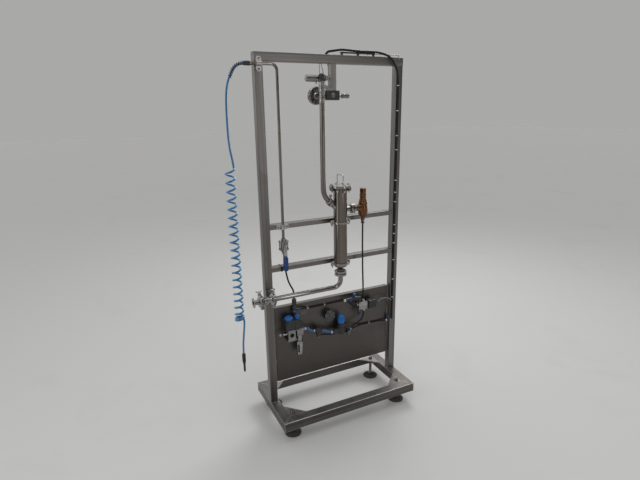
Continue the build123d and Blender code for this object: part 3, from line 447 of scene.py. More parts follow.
class Finish:
    """A material while it is being made, kept under its name in finishes."""

    def __init__(self, name):
        material = bpy.data.materials.new(name)
        material.use_nodes = True
        finishes[name] = material
        self.tree = material.node_tree
        self.shader = self.tree.nodes["Principled BSDF"]
        self.place = self.tree.nodes.new("ShaderNodeTexCoord").outputs["Object"]

    def set(self, **values):
        """Plain numbers on the shader's own sockets, by their names with underscores."""
        for label, value in values.items():
            self.shader.inputs[label.replace("_", " ")].default_value = value

    def feed(self, label, socket):
        self.tree.links.new(socket, self.shader.inputs[label])

    def effect(self, name, **values):
        """One of the shared effects, placed with its own values."""
        node = self.tree.nodes.new("ShaderNodeGroup")
        node.node_tree = bpy.data.node_groups[name]
        self.tree.links.new(self.place, node.inputs["Vector"])
        for label, value in values.items():
            node.inputs[label].default_value = value
        return node.outputs

    def mix(self, mask, first, second, share=1.0):
        """A colour between two, by a mask."""
        node = self.tree.nodes.new("ShaderNodeMix")
        node.data_type = "RGBA"
        if share != 1.0:
            mask = arithmetic(self.tree, "MULTIPLY", mask, share)
        self.tree.links.new(mask, node.inputs["Factor"])
        for label, given in (("A", first), ("B", second)):
            socket = next(s for s in node.inputs if s.name == label and s.type == "RGBA")
            plug(self.tree, given if hasattr(given, "is_output") else (*given[:3], 1.0), socket)
        return next(s for s in node.outputs if s.type == "RGBA")

    def value(self, mask, low, high):
        return ranged(self.tree, mask, 0.0, 1.0, low, high)

    def roughness(self, *shares):
        """Roughness as the sum of its shares."""
        total = shares[0]
        for share in shares[1:]:
            total = arithmetic(self.tree, "ADD", total, share)
        self.feed("Roughness", total)

    def bump(self, height, strength, depth, normal=None):
        node = self.tree.nodes.new("ShaderNodeBump")
        node.inputs["Strength"].default_value = strength
        node.inputs["Distance"].default_value = depth
        self.tree.links.new(height, node.inputs["Height"])
        if normal is not None:
            self.tree.links.new(normal, node.inputs["Normal"])
        self.feed("Normal", node.outputs["Normal"])


def steel(
    name,
    dark,
    light,
    rough,
    stretch,
    depth=0.00003,
    edge=0.0012,
    dust=0.15,
    marks=0.35,
    stain=(0.2, 0.17, 0.14),
):
    """Drawn or brushed steel with lines, dull marks, edges rubbed bright that are also a painted highlight,
    and a little dust.
    """
    made = Finish(name)
    grain = made.effect("Drawn lines", Stretch=stretch)
    cloud = made.effect("Patches", Scale=7.0, Cover=marks)
    edge_wear_and_glint = made.effect("Edge wear and painted glint", Radius=edge)
    fall = made.effect("Settled dust", Amount=dust)
    colour = made.mix(grain["Bands"], dark, light)
    colour = made.mix(grain["Lines"], colour, light, 0.35)
    colour = made.mix(cloud["Mask"], colour, stain, 0.5)
    # Painted highlight and wear: the edges are mixed towards pale steel.
    colour = made.mix(edge_wear_and_glint["Mask"], colour, EDGE_WEAR_AND_GLINT_STEEL, 0.7)
    colour = made.mix(fall["Mask"], colour, STEEL_DUST)
    made.feed("Base Color", colour)
    made.roughness(
        made.value(grain["Lines"], rough - 0.07, rough + 0.08),
        made.value(cloud["Mask"], 0.0, 0.12),
        made.value(fall["Mask"], 0.0, 0.25),
    )
    made.feed("Metallic", made.value(fall["Mask"], 1.0, 0.55))
    made.bump(grain["Lines"], 0.35, depth, edge_wear_and_glint["Normal"])


def polished(
    name,
    dark,
    light,
    rough,
    scale=9.0,
    tint=(0.3, 0.24, 0.18),
    edge=0.0006,
    stretch=(9, 700, 700),
):
    """Polished steel with faint polishing lines, cloudy marks and a warm tint."""
    made = Finish(name)
    grain = made.effect("Drawn lines", Stretch=stretch)
    cloud = made.effect("Patches", Scale=scale, Cover=0.42)
    edge_wear_and_glint = made.effect("Edge wear and painted glint", Radius=edge)
    colour = made.mix(grain["Bands"], dark, light)
    colour = made.mix(cloud["Mask"], colour, tint, 0.35)
    # Painted highlight and wear: the edges are mixed towards pale polished steel.
    colour = made.mix(edge_wear_and_glint["Mask"], colour, EDGE_WEAR_AND_GLINT_POLISH, 0.6)
    made.feed("Base Color", colour)
    made.roughness(
        made.value(cloud["Mask"], rough, rough + 0.14), made.value(grain["Lines"], -0.02, 0.05)
    )
    made.set(Metallic=1.0)
    made.bump(grain["Lines"], 0.2, 0.000008, edge_wear_and_glint["Normal"])


def moulded(name, colour, worn_colour, rough, grain=900.0, depth=0.00004, dust=0.12, gloss=0.5):
    """Moulded plastic or rubber with a fine skin, scuffed edges and dust."""
    made = Finish(name)
    skin = made.effect("Patches", Scale=grain / SPECKLES, Cover=0.5)
    cloud = made.effect("Patches", Scale=16.0, Cover=0.45)
    edge_wear_and_glint = made.effect("Edge wear and painted glint", Radius=0.0005)
    fall = made.effect("Settled dust", Amount=dust)
    shade = made.mix(cloud["Mask"], colour, [0.72 * c for c in colour], 0.8)
    shade = made.mix(edge_wear_and_glint["Mask"], shade, worn_colour, 0.45)
    shade = made.mix(fall["Mask"], shade, PLASTIC_DUST)
    made.feed("Base Color", shade)
    made.roughness(
        made.value(cloud["Mask"], rough, min(1.0, rough + 0.14)), made.value(fall["Mask"], 0.0, 0.3)
    )
    made.set(Specular_IOR_Level=gloss)
    made.bump(skin["Speckle"], 0.4, depth, edge_wear_and_glint["Normal"])


def sheath(name, colour, light, rough, gloss=0.5, rim=0.0, coat=0.0):
    """The skin of a hose or cable, with scuffs along it, and on the blue hoses a painted pale rim, brighter
    where the surface turns away from view, which stands for light that the hose lets through and for its
    sheen.
    """
    made = Finish(name)
    cloud = made.effect("Patches", Scale=30.0, Cover=0.5)
    shade = made.mix(cloud["Mask"], colour, light, 0.7)
    if rim:
        # Painted light: the colour grows paler towards the outline, by the facing weight, in place of light
        # through the hose and its sheen.
        edge = made.tree.nodes.new("ShaderNodeLayerWeight")
        edge.inputs["Blend"].default_value = 0.35
        shade = made.mix(edge.outputs["Facing"], shade, [min(1.0, 3.2 * c) for c in light], rim)
    made.feed("Base Color", shade)
    made.feed("Roughness", made.value(cloud["Mask"], rough, rough + 0.2))
    made.set(Specular_IOR_Level=gloss, Coat_Weight=coat, Coat_Roughness=0.08)
    made.bump(cloud["Speckle"], 0.35, 0.00008)


def cast_bronze(name):
    """Sand-cast bronze, dark brown in cloudy patches, with the edges of its turned bands rubbed bright,
    which is also a painted highlight.
    """
    made = Finish(name)
    rough = made.effect("Patches", Scale=40.0, Cover=0.55)
    cloud = made.effect("Patches", Scale=14.0, Cover=0.6)
    edge_wear_and_glint = made.effect("Edge wear and painted glint", Radius=0.0012)
    colour = made.mix(cloud["Mask"], (0.22, 0.11, 0.056), (0.045, 0.026, 0.017))
    colour = made.mix(rough["Speckle"], colour, (0.14, 0.074, 0.038), 0.45)
    # Painted highlight and wear: the edges of the turned bands are mixed towards bright bronze.
    colour = made.mix(edge_wear_and_glint["Mask"], colour, (0.6, 0.36, 0.19), 0.85)
    made.feed("Base Color", colour)
    made.feed("Roughness", made.value(rough["Speckle"], 0.17, 0.28))
    made.feed("Metallic", made.value(cloud["Mask"], 1.0, 0.9))
    made.bump(rough["Speckle"], 0.3, 0.00003, edge_wear_and_glint["Normal"])


def clear_lens(name):
    """Clear cover of a gauge, with wiped smears."""
    made = Finish(name)
    cloud = made.effect("Patches", Scale=60.0, Cover=0.4)
    made.set(Base_Color=(0.95, 0.97, 0.97, 1.0), IOR=1.46, Transmission_Weight=1.0)
    made.feed("Roughness", made.value(cloud["Mask"], 0.02, 0.12))


def floor_paint(name, tone):
    """Pale floor with faint broad patches."""
    made = Finish(name)
    cloud = made.effect("Patches", Scale=1.6, Cover=0.5)
    made.feed("Base Color", made.mix(cloud["Mask"], tone, [0.94 * c for c in tone]))
    made.feed("Roughness", made.value(cloud["Mask"], 0.55, 0.7))
    made.set(Specular_IOR_Level=0.05)


def steel_finishes(look):
    """Finishes of the stand, the pipes and the metal fittings."""
    body = look.tube_colour
    pale = [min(1.0, 1.8 * c) for c in body]
    dull = look.tube_roughness
    # The stand's steel parts share one tube colour; these shares make some parts lighter and others darker
    # as painted light and shade, the base darkest and the hanger lightest.
    for name, dark, light, rough, stretch, more in (
        ("Post steel", 0.72, 0.7, dull, UPRIGHT, {"marks": 0.5}),
        ("Rail steel", 0.72, 0.72, dull - 0.06, LENGTHWISE, {}),
        ("Beam steel", 0.85, 0.85, dull + 0.08, LENGTHWISE, {}),
        ("Hanger steel", 1.1, 1.1, dull + 0.04, UPRIGHT, {}),
        ("Base steel", 0.42, 0.42, dull, LENGTHWISE, {"dust": 0.5, "marks": 0.5}),
        ("Base end steel", 0.42, 0.42, dull, DEPTHWISE, {"dust": 0.5, "marks": 0.5}),
        ("Plate steel", 1.0, 1.0, 0.36, (60, 600, 600), {"marks": 0.4}),
    ):
        steel(name, [dark * c for c in body], [light * c for c in pale], rough, stretch, **more)
    # Paler steel for the rounded edges of the base: a painted highlight along its edges.
    steel("Corner steel with painted highlight", (0.5, 0.49, 0.48), (0.75, 0.74, 0.73), 0.3, LENGTHWISE)
    steel("Clip steel", (0.34, 0.33, 0.32), (0.5, 0.49, 0.48), 0.3, (90, 600, 600))
    steel(
        "Panel steel",
        look.panel_colour,
        [1.08 * c for c in look.panel_colour],
        0.42,
        LENGTHWISE,
        depth=0.000008,
        edge=0.0008,
        dust=0.3,
        marks=0.55,
        stain=(0.11, 0.1, 0.09),
    )
    for name, dark, light, rough, more in (
        ("Polished pipe", (0.19, 0.176, 0.164), (0.29, 0.275, 0.262), 0.07, {}),
        # The broad upright bands of lighter and darker colour on the riser and the air tube are partly grain
        # and partly painted reflection streaks.
        ("Upright pipe", (0.13, 0.114, 0.1), (0.27, 0.247, 0.225), 0.07, {"stretch": (620, 620, 8)}),
        ("Turned steel", (0.22, 0.21, 0.195), (0.4, 0.385, 0.37), 0.11, {"scale": 20.0}),
        ("Bright pipe", (0.3, 0.29, 0.28), (0.46, 0.45, 0.43), 0.08, {}),
    ):
        polished(name, dark, light, rough, **more)
    # The broad upright bands of lighter and darker colour on the shell are partly grain and partly painted
    # reflection streaks.
    polished("Jacket steel", (0.1, 0.082, 0.07), (0.24, 0.205, 0.18), 0.11, 6.0, stretch=(420, 420, 4))
    polished("Plated steel", (0.19, 0.19, 0.19), (0.33, 0.33, 0.325), 0.2, 30.0, (0.14, 0.135, 0.125))
    polished("Bolt steel", (0.3, 0.29, 0.28), (0.46, 0.45, 0.44), 0.18, 60.0, edge=0.0004)
    polished("Dark chrome", (0.07, 0.069, 0.066), (0.12, 0.118, 0.115), 0.1, 40.0, edge=0.0003)
    polished("Weld seam", (0.26, 0.22, 0.17), (0.4, 0.37, 0.34), 0.35, 40.0, (0.16, 0.15, 0.17))
    cast_bronze("Cast bronze")


def soft_finishes(look):
    """Finishes of the plastics, rubbers, hoses and dials."""
    for name, colour, worn_colour, rough, more in (
        ("Black plastic", (0.022, 0.023, 0.025), (0.12, 0.12, 0.12), 0.36, {}),
        # Near black for seals, seams and print, also put on sockets, cross recesses and other hollows as
        # painted shade.
        ("Near black and painted recess shade", (0.008, 0.008, 0.008), (0.02, 0.02, 0.02), 0.8, {"gloss": 0.2}),
        ("Light plastic", (0.62, 0.62, 0.6), (0.8, 0.8, 0.8), 0.38, {}),
        ("Blue plastic", look.blue_colour, (0.1, 0.35, 0.8), 0.3, {"dust": 0.03}),
        ("Deep blue plastic", (0.006, 0.05, 0.2), (0.05, 0.13, 0.4), 0.34, {"dust": 0.03}),
        ("Blank label", (0.12, 0.112, 0.1), (0.2, 0.19, 0.17), 0.5, {"gloss": 0.35}),
        ("Dial face", (0.16, 0.16, 0.155), (0.2, 0.2, 0.2), 0.5, {"dust": 0.0}),
        ("Faded ink", (0.02, 0.02, 0.02), (0.03, 0.03, 0.03), 0.5, {"dust": 0.0}),
        ("Dark dial face", (0.009, 0.009, 0.01), (0.03, 0.03, 0.03), 0.4, {"dust": 0.0}),
    ):
        moulded(name, colour, worn_colour, rough, **more)
    moulded("Foot rubber", (0.02, 0.019, 0.018), (0.08, 0.08, 0.08), 0.7, 500.0, 0.0001, 0.3, 0.3)
    moulded("Lever grip", (0.01, 0.04, 0.16), (0.06, 0.12, 0.32), 0.42, 600.0, 0.0001, 0.05)
    hose, pale_hose = look.hose_colour, [1.7 * c for c in look.hose_colour]
    # Both blue hoses take a painted pale rim along their outlines.
    sheath("Blue tube", (0.012, 0.1, 0.3), (0.03, 0.17, 0.42), 0.2, 0.5, 0.4, 0.4)
    sheath("Spiral hose", hose, pale_hose, 0.14, 0.6, 0.85, 0.7)
    sheath("Black hose", (0.009, 0.009, 0.01), (0.022, 0.022, 0.022), 0.46, 0.3)
    sheath("Grey cable", (0.2, 0.2, 0.2), (0.3, 0.3, 0.3), 0.4)
    sheath("Ribbed end", (0.015, 0.015, 0.016), (0.04, 0.04, 0.04), 0.5, 0.4)
    clear_lens("Gauge lens")


FINISH_NODES = {
    "Base steel": ("base_long_beams",),
    "Base end steel": ("base_short_beams",),
    "Plate steel": ("corner_plates", "pipe_holder", "hanger_plate"),
    "Post steel": ("posts",),
    "Beam steel": ("top_beam",),
    "Rail steel": ("rails",),
    "Hanger steel": ("hanger",),
    "Panel steel": ("back_panel",),
    "Clip steel": ("tube_clips",),
    "Jacket steel": ("shell",),
    "Turned steel": (
        "top_cover",
        "shell_clamps",
        "outlet_union",
        "outlet_clamps",
        "outlet_body",
        "outlet_ferrule",
        "shell_union",
        "riser_tee",
        "sensor_housing",
        "valve_fittings",
    ),
    "Polished pipe": ("lower_head", "product_pipe"),
    "Upright pipe": ("riser_pipe", "air_tube"),
    "Bright pipe": ("cover_handle",),
    "Bolt steel": ("beam_wires", "solenoid_valve"),
    "Plated steel": (
        "foot_spindles",
        "plug_connector",
        "ball_valve_body",
        "filter_head",
        "filter_bowl",
    ),
    "Cast bronze": ("safety_valve",),
    "Foot rubber": ("foot_pads",),
    "Lever grip": ("ball_valve_lever",),
    "Blue plastic": ("service_caps", "regulator_knob"),
    "Black plastic": (
        "sensor_knob",
        "cable_strip",
        "flow_body",
        "service_unit",
        "gauges",
        "regulator_body",
        "solenoid_coil",
        "push_fittings",
    ),
    "Blue tube": ("blue_tubes",),
    "Spiral hose": ("hose_upper", "hose_coil", "hose_lower"),
    "Black hose": ("panel_hoses", "relief_hose", "feed_hose", "hose_relief", "cable_bundle"),
    "Ribbed end": ("hose_end",),
    "Grey cable": ("coil_cable",),
}


# Settings


class ExchangerFinish(bpy.types.PropertyGroup):
    """Colours and roughness of the stand and its plastics."""

    tube_colour: FloatVectorProperty(
        name="Tube",
        description="Colour of the square tubes",
        subtype="COLOR",
        default=(0.19, 0.179, 0.168),
    )
    tube_roughness: FloatProperty(
        name="Tube roughness", description="How dull the square tubes are", default=0.34, min=0.05, max=1.0
    )
    panel_colour: FloatVectorProperty(
        name="Panel",
        description="Colour of the back panel",
        subtype="COLOR",
        default=(0.116, 0.106, 0.098),
    )
    blue_colour: FloatVectorProperty(
        name="Caps",
        description="Blue of the caps and the knob",
        subtype="COLOR",
        default=(0.006, 0.125, 0.42),
    )
    hose_colour: FloatVectorProperty(
        name="Hose",
        description="Blue of the spiral hose",
        subtype="COLOR",
        default=(0.014, 0.1, 0.23),
    )


class ExchangerHose(bpy.types.PropertyGroup):
    """Sizes of the spiral air hose."""

    diameter: FloatProperty(
        name="Diameter", description="Outer diameter of the hose", unit="LENGTH", default=0.010
    )
    length: FloatProperty(
        name="Length", description="Length of the hose pulled straight", unit="LENGTH", default=3.4
    )
    turns: IntProperty(name="Turns", description="Turns of the open spiral", default=19, min=4)
    turn_radius: FloatProperty(
        name="Turn radius",
        description="Radius of the turns to the hose's middle",
        unit="LENGTH",
        default=0.0203,
    )


class ExchangerFasteners(bpy.types.PropertyGroup):
    """Thread sizes in millimetres of the small fasteners, and the weld seams."""

    cover_thread: FloatProperty(
        name="Cover bolts", description="Thread of the cover bolts in mm", default=6.0
    )
    clamp_thread: FloatProperty(
        name="Clamp bolts", description="Thread of the clamp bolts in mm", default=7.0
    )
    clip_screw: FloatProperty(
        name="Clip screws", description="Head radius of the clip screws in mm", default=5.0
    )
    weld_width: FloatProperty(
        name="Weld seam", description="Half width of a weld seam in mm", default=1.9
    )


class ExchangerStage(bpy.types.PropertyGroup):
    """Floor, light and camera."""

    floor_colour: FloatVectorProperty(
        name="Floor", description="Colour of the floor", subtype="COLOR", default=(0.63, 0.63, 0.625)
    )
    key_power: FloatProperty(
        name="Key light", description="Power of the high soft light in watts", default=40.0
    )
    strip_power: FloatProperty(
        name="Strip lights", description="Power of each strip light in watts", default=6.0
    )
    focal_length: FloatProperty(
        name="Focal length", description="Focal length of the camera in millimetres", default=25.64
    )


# Operators


class Maker:
    """What the operators of this object share."""

    bl_options = {"REGISTER", "UNDO"}

    def execute(self, context):
        self.make(context.scene)
        return {"FINISHED"}


class EXCHANGER_OT_effects(Maker, bpy.types.Operator):
    """Makes the shared shader effects and all finishes"""

    bl_idname = "exchanger.effects"
    bl_label = "Effects and finishes"

    def make(self, scene):
        effect_drawn_lines()
        effect_patches()
        effect_edge_wear_and_glint()
        effect_settled_dust()
        steel_finishes(scene.exchanger_finish)
        soft_finishes(scene.exchanger_finish)


class EXCHANGER_OT_stage(Maker, bpy.types.Operator):
    """Sets the camera, the floor and the lights"""

    bl_idname = "exchanger.stage"
    bl_label = "Stage"

    def make(self, scene):
        settings = scene.exchanger_stage
        self.camera(scene, settings.focal_length)
        self.floor(settings.floor_colour)
        self.lights(scene, settings.key_power, settings.strip_power)
        self.surround(scene)
        scene.view_settings.view_transform = "Standard"

    def camera(self, scene, focal_length):
        yaw, pitch, roll = math.radians(25.858), math.radians(15.487), math.radians(-0.938)
        level = math.cos(pitch)
        ahead = Vector((math.sin(yaw) * level, math.cos(yaw) * level, -math.sin(pitch)))
        side = Vector((math.cos(yaw), -math.sin(yaw), 0))
        top = side.cross(ahead)
        x = side * math.cos(roll) + top * math.sin(roll)
        y = top * math.cos(roll) - side * math.sin(roll)
        turned = Matrix((x, y, -ahead)).transposed().to_4x4()
        lens = bpy.data.cameras.new("Camera")
        lens.lens = focal_length
        lens.sensor_width = 36.0
        camera = bpy.data.objects.new("Camera", lens)
        camera.matrix_world = Matrix.Translation((-1.04385, -2.06806, 1.63018)) @ turned
        scene.collection.objects.link(camera)
        scene.camera = camera

    def floor(self, tone):
        floor_paint("Studio floor", tone)
        sheet = Blank()
        sheet.face([sheet.mesh.verts.new(Vector((a * 40, b * 40, 0))) for a, b in SQUARE])
        floor = sheet.piece("studio_floor", "stand", "stainless_steel", "Studio floor")
        floor.parent = None
        del floor["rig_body"], floor["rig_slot"]

    def lights(self, scene, key, strip):
        for name, spot, aim, wide, tall, power, spread in (
            ("Key light", (1.7, 1.5, 3.3), (0, 0, 0.8), 1.6, 1.6, key, 180),
            ("Left strip", (-2.7, -0.5, 1.5), (0, 0, 1.2), 0.3, 2.4, strip, 180),
            ("Front strip", (0.9, -3.0, 1.7), (0, 0, 1.1), 0.3, 2.2, strip, 180),
            ("Back strip", (2.4, 1.2, 1.4), (0, 0, 1.4), 0.25, 2.2, 0.15 * strip, 60),
            ("Ceiling strip", (0.1, -0.6, 4.2), (0, 0, 0), 3.4, 0.35, strip, 180),
        ):
            lamp = bpy.data.lights.new(name, "AREA")
            lamp.shape = "RECTANGLE"
            lamp.size = wide
            lamp.size_y = tall
            lamp.energy = power
            lamp.spread = math.radians(spread)
            light = bpy.data.objects.new(name, lamp)
            light.location = spot
            light.visible_camera = False
            light.visible_transmission = False
            light.rotation_euler = (Vector(aim) - Vector(spot)).to_track_quat("-Z", "Y").to_euler()
            scene.collection.objects.link(light)

    def surround(self, scene):
        """A pale room: even light on the object, and a darker front for metal to show."""
        world = bpy.data.worlds.new("Studio room")
        scene.world = world
        world.use_nodes = True
        tree = world.node_tree
        room = tree.nodes["Background"]
        place = tree.nodes.new("ShaderNodeTexCoord").outputs["Generated"]
        parts = tree.nodes.new("ShaderNodeSeparateXYZ")
        tree.links.new(place, parts.inputs[0])
        mirrored = ranged(tree, parts.outputs["Y"], -0.8, 0.35, 0.05, 0.52)
        for axis, low, high, start, end in (
            ("X", -0.95, 0.4, 0.32, 0.0),
            ("X", 0.38, 0.75, 0.0, 0.15),
            ("Z", 0.6, 0.95, 0.0, 0.6),
        ):
            glow = ranged(tree, parts.outputs[axis], low, high, start, end)
            mirrored = arithmetic(tree, "ADD", mirrored, glow)
        rays = tree.nodes.new("ShaderNodeLightPath").outputs
        seen = arithmetic(tree, "MAXIMUM", rays["Is Camera Ray"], rays["Is Transmission Ray"])
        lit = blended(tree, rays["Is Glossy Ray"], 0.6, mirrored)
        tree.links.new(blended(tree, seen, lit, 0.4), room.inputs["Strength"])
        room.inputs["Color"].default_value = (1.0, 0.995, 0.985, 1.0)


class EXCHANGER_OT_bodies(Maker, bpy.types.Operator):
    """Gives every part of the stand, the exchanger and the air panel its finish"""

    bl_idname = "exchanger.bodies"
    bl_label = "Finishes of the parts"

    def make(self, scene):
        for finish, names in FINISH_NODES.items():
            for name in names:
                for slot in nodes[name].material_slots:
                    slot.material = finishes[finish]


def hose_route(settings):
    """Control points of the spiral hose from its nut to its end."""
    points = [
        at(x, AIR_Y, z)
        for x, z in (
            (-456, AIR_Z),
            (-472, AIR_Z),
            (-498, 1830),
            (-514, 1797),
            (-529, 1766),
            (-540, 1703),
            (-542, 1573),
            (-538, 1486),
            (-528, 1432),
        )
    ]
    axis = at(-544, AIR_Y, 0)
    per_turn, close_turns = 14, 2
    top, low_open, low = 1.396, 0.668, 0.650
    reach = settings.turn_radius
    for i in range((settings.turns + close_turns) * per_turn + 1):
        turn = i / per_turn
        angle = math.radians(10) - math.tau * turn
        if turn <= settings.turns:
            share = turn / settings.turns
            height = top + (low_open - top) * (share + 0.1 * share * (1 - share))
        else:
            share = (turn - settings.turns) / close_turns
            height = low_open + (low - low_open) * share + 0.004 * share * math.cos(angle + 0.8)
        x, y = axis.x + reach * math.cos(angle), axis.y + reach * math.sin(angle)
        points.append(Vector((x, y, height)))
    tail = ((-524, -34, 642), (-525, -25, 600), (-536, AIR_Y, 513), (-536, AIR_Y, 463))
    return points + [at(*spot) for spot in tail]


def spline_through(name, points, radius):
    """A round hose on one smooth spline, and the points along its middle."""
    curve = bpy.data.curves.new(name, "CURVE")
    curve.dimensions = "3D"
    curve.resolution_u = 4
    line = curve.splines.new("NURBS")
    line.points.add(len(points) - 1)
    for spot, point in zip(line.points, points):
        spot.co = (*point, 1.0)
    line.order_u = 3
    line.use_endpoint_u = True
    made = bpy.data.objects.new(name, curve)
    bpy.context.scene.collection.objects.link(made)
    plain = bpy.data.meshes.new_from_object(made)
    middle = [vertex.co.copy() for vertex in plain.vertices]
    bpy.data.meshes.remove(plain)
    curve.bevel_depth = radius
    curve.bevel_resolution = 4
    curve.use_fill_caps = True
    return made, middle


class EXCHANGER_OT_air_hose(Maker, bpy.types.Operator):
    """Makes the spiral air hose with its spring guard and its nut"""

    bl_idname = "exchanger.air_hose"
    bl_label = "Air hose"

    def make(self, scene):
        settings = scene.exchanger_hose
        route = hose_route(settings)
        hose, middle = spline_through("air_hose", route, settings.diameter / 2)
        hose.data.materials.append(finishes["Spiral hose"])
        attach(hose, "stand")
        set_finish(hose, "blue_hose")
        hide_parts("hose_upper", "hose_coil", "hose_lower")

        guard = Blank()
        guard.turned(at(-416, AIR_Y, AIR_Z), LEFT, [(0, 9.2), (7, 9.2)], 6, 30)
        guard.slot = 1
        sleeve = [(0, 8.6), (1, 9.5), (24, 9.5), (27, 9.0), (33, 8.9)]
        guard.turned(at(-423, AIR_Y, AIR_Z), LEFT, sleeve, 40)
        guard.ribs(at(-426, AIR_Y, AIR_Z), LEFT, 9.4, 19, 20, 0.75, math.pi / 2)
        guard.tube(self.spring(self.first_run(middle, 0.086), 7.0, 9), 2.1, 8)
        piece = guard.piece("hose_guard", "stand", "black_hose", "Plated steel", "Black plastic")
        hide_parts("hose_relief")

    def first_run(self, middle, length):
        """The points along the first stretch of the hose."""
        run, travelled = [middle[0]], 0.0
        for before, after in zip(middle, middle[1:]):
            travelled += (after - before).length
            run.append(after)
            if travelled > length:
                break
        return run

    def spring(self, run, reach, coils, per_coil=14):
        """Points of a spring wound around a run of points."""
        lengths = [0.0]
        for before, after in zip(run, run[1:]):
            lengths.append(lengths[-1] + (after - before).length)
        points = []
        steps = coils * per_coil
        for i in range(steps + 1):
            wanted = lengths[-1] * i / steps
            k = min(len(run) - 2, max(j for j, v in enumerate(lengths) if v <= wanted + 1e-9))
            share = (wanted - lengths[k]) / max(lengths[k + 1] - lengths[k], 1e-9)
            centre = run[k].lerp(run[k + 1], min(share, 1.0))
            ahead = (run[k + 1] - run[k]).normalized()
            upward = ahead.cross(BACK).normalized()
            angle = math.tau * i / per_coil
            ray = upward * math.cos(angle) + BACK * math.sin(angle)
            points.append(centre + ray * (reach / 1000))
        return points


def weld_seam(blank, start, end, width):
    """A weld seam of small overlapping scales along a straight run."""
    span = (end - start).length
    count = max(3, int(span / 0.0012))
    line, radii = [], []
    for i in range(count + 1):
        line.append(start.lerp(end, i / count))
        wave = math.sin(i * 2.1) * 0.14 + math.sin(i * 0.37 + span * 900) * 0.12
        radii.append(width * (1 + wave))
    blank.tube(line, radii, 8)


def weld_loop(blank, corners, width):
    """Weld seams all the way around a joint."""
    for start, end in zip(corners, corners[1:] + corners[:1]):
        weld_seam(blank, start, end, width)


class EXCHANGER_OT_weld_seams(Maker, bpy.types.Operator):
    """Lays the weld seams of the stand"""

    bl_idname = "exchanger.weld_seams"
    bl_label = "Weld seams"

    def make(self, scene):
        width = scene.exchanger_fasteners.weld_width
        seams = Blank()
        for a, b in CORNERS:
            mitre = 0.62 * width
            top, inner = at(a * 399.5, b * 211.5, BASE_TOP), at(a * 350, b * 162, BASE_TOP)
            weld_seam(seams, top, inner, mitre)
            weld_seam(seams, at(a * 399.6, b * 211.6, 119), at(a * 399.6, b * 211.6, 71), mitre)
            weld_seam(seams, at(a * 350, b * 70, 114), at(a * 350, b * 162, 114), 0.8 * width)
        for a in SIDES:
            x, face = a * POST_X, a * (POST_X - POST_HALF)
            for height, share in ((BASE_TOP, 1.0), (BEAM_BOTTOM, 0.75)):
                ends = [at(x + i * POST_HALF, POST_Y + j * POST_HALF, height) for i, j in SQUARE]
                weld_loop(seams, ends, share * width)
            for height in RAIL_HEIGHTS:
                ends = [at(face, POST_Y + i * POST_HALF, height + j * 12.5) for j, i in SQUARE]
                weld_loop(seams, ends, 0.75 * width)
            for height in (345, 545):
                weld_seam(seams, at(face, 4.6, height - 14), at(face, 4.6, height + 14), 0.8 * width)
        arm = [at(i * 15, POST_Y + j * 15, BEAM_BOTTOM) for i, j in SQUARE]
        weld_loop(seams, arm, 0.75 * width)
        weld_seam(seams, at(-14, -10, 1740), at(-14, -10, 1802), 0.7 * width)
        seams.piece("weld_seams", "stand", "stainless_steel", "Weld seam", crease=70)
        lids = Blank()
        for a in SIDES:
            lids.block(at(a * 398.9, POST_Y, 1880), (1.6, 36.4, 36.4))
        lids.piece("beam_lids", "stand", "stainless_steel", "Beam steel", soften=0.5)


class EXCHANGER_OT_tube_edges(Maker, bpy.types.Operator):
    """Rounds the edges of the base's square tubes and gives the rounds a paler steel as a painted highlight
    """

    bl_idname = "exchanger.tube_edges"
    bl_label = "Tube edges"

    def make(self, scene):
        for beam in (nodes["base_long_beams"], nodes["base_short_beams"]):
            beam.modifiers.new("Joined facets", "WELD").merge_threshold = 0.00001
            beam.data.materials.append(finishes["Corner steel with painted highlight"])
            # The rounds take the paler steel, a painted highlight along the edges.
            round_edges(beam, 2.2, 3).material = len(beam.data.materials) - 1


class EXCHANGER_OT_feet(Maker, bpy.types.Operator):
    """Cuts the threads of the levelling feet and adds their lock nuts"""

    bl_idname = "exchanger.feet"
    bl_label = "Feet"

    def make(self, scene):
        feet, rims = Blank(), Blank()
        for a, b in CORNERS:
            x, y = a * 328, b * 140
            feet.threads(at(x, y, 23.5), UP, 8.7, 88, 2.0)
            feet.turned(at(x, y, 16), UP, [(0, 13), (5.5, 13), (7, 11.5)], 6, 10)
            feet.turned(at(x, y, 104), UP, [(0, 15), (9, 15), (10, 13.6)], 6, 24)
            feet.turned(at(x, y, 128.2), UP, [(0, 8.3), (4, 8.3), (5.9, 6.9)], 24)
            ring = [(2.2, 43.2), (3.2, 44), (4.4, 43.2), (3.2, 42.2)]
            rims.turned(at(x, y, 0), UP, ring, 64, closed=True)
            for c, s in ((math.cos(angle), math.sin(angle)) for angle in circle(18)):
                low = at(x + 37.2 * c, y + 37.2 * s, 7.4)
                rims.tube([low, at(x + 21.5 * c, y + 21.5 * s, 11.2)], 1.1, 6)
        feet.piece("foot_threads", "stand", "plated_steel", "Plated steel")
        rims.piece("foot_ribs", "stand", "black_rubber", "Foot rubber")


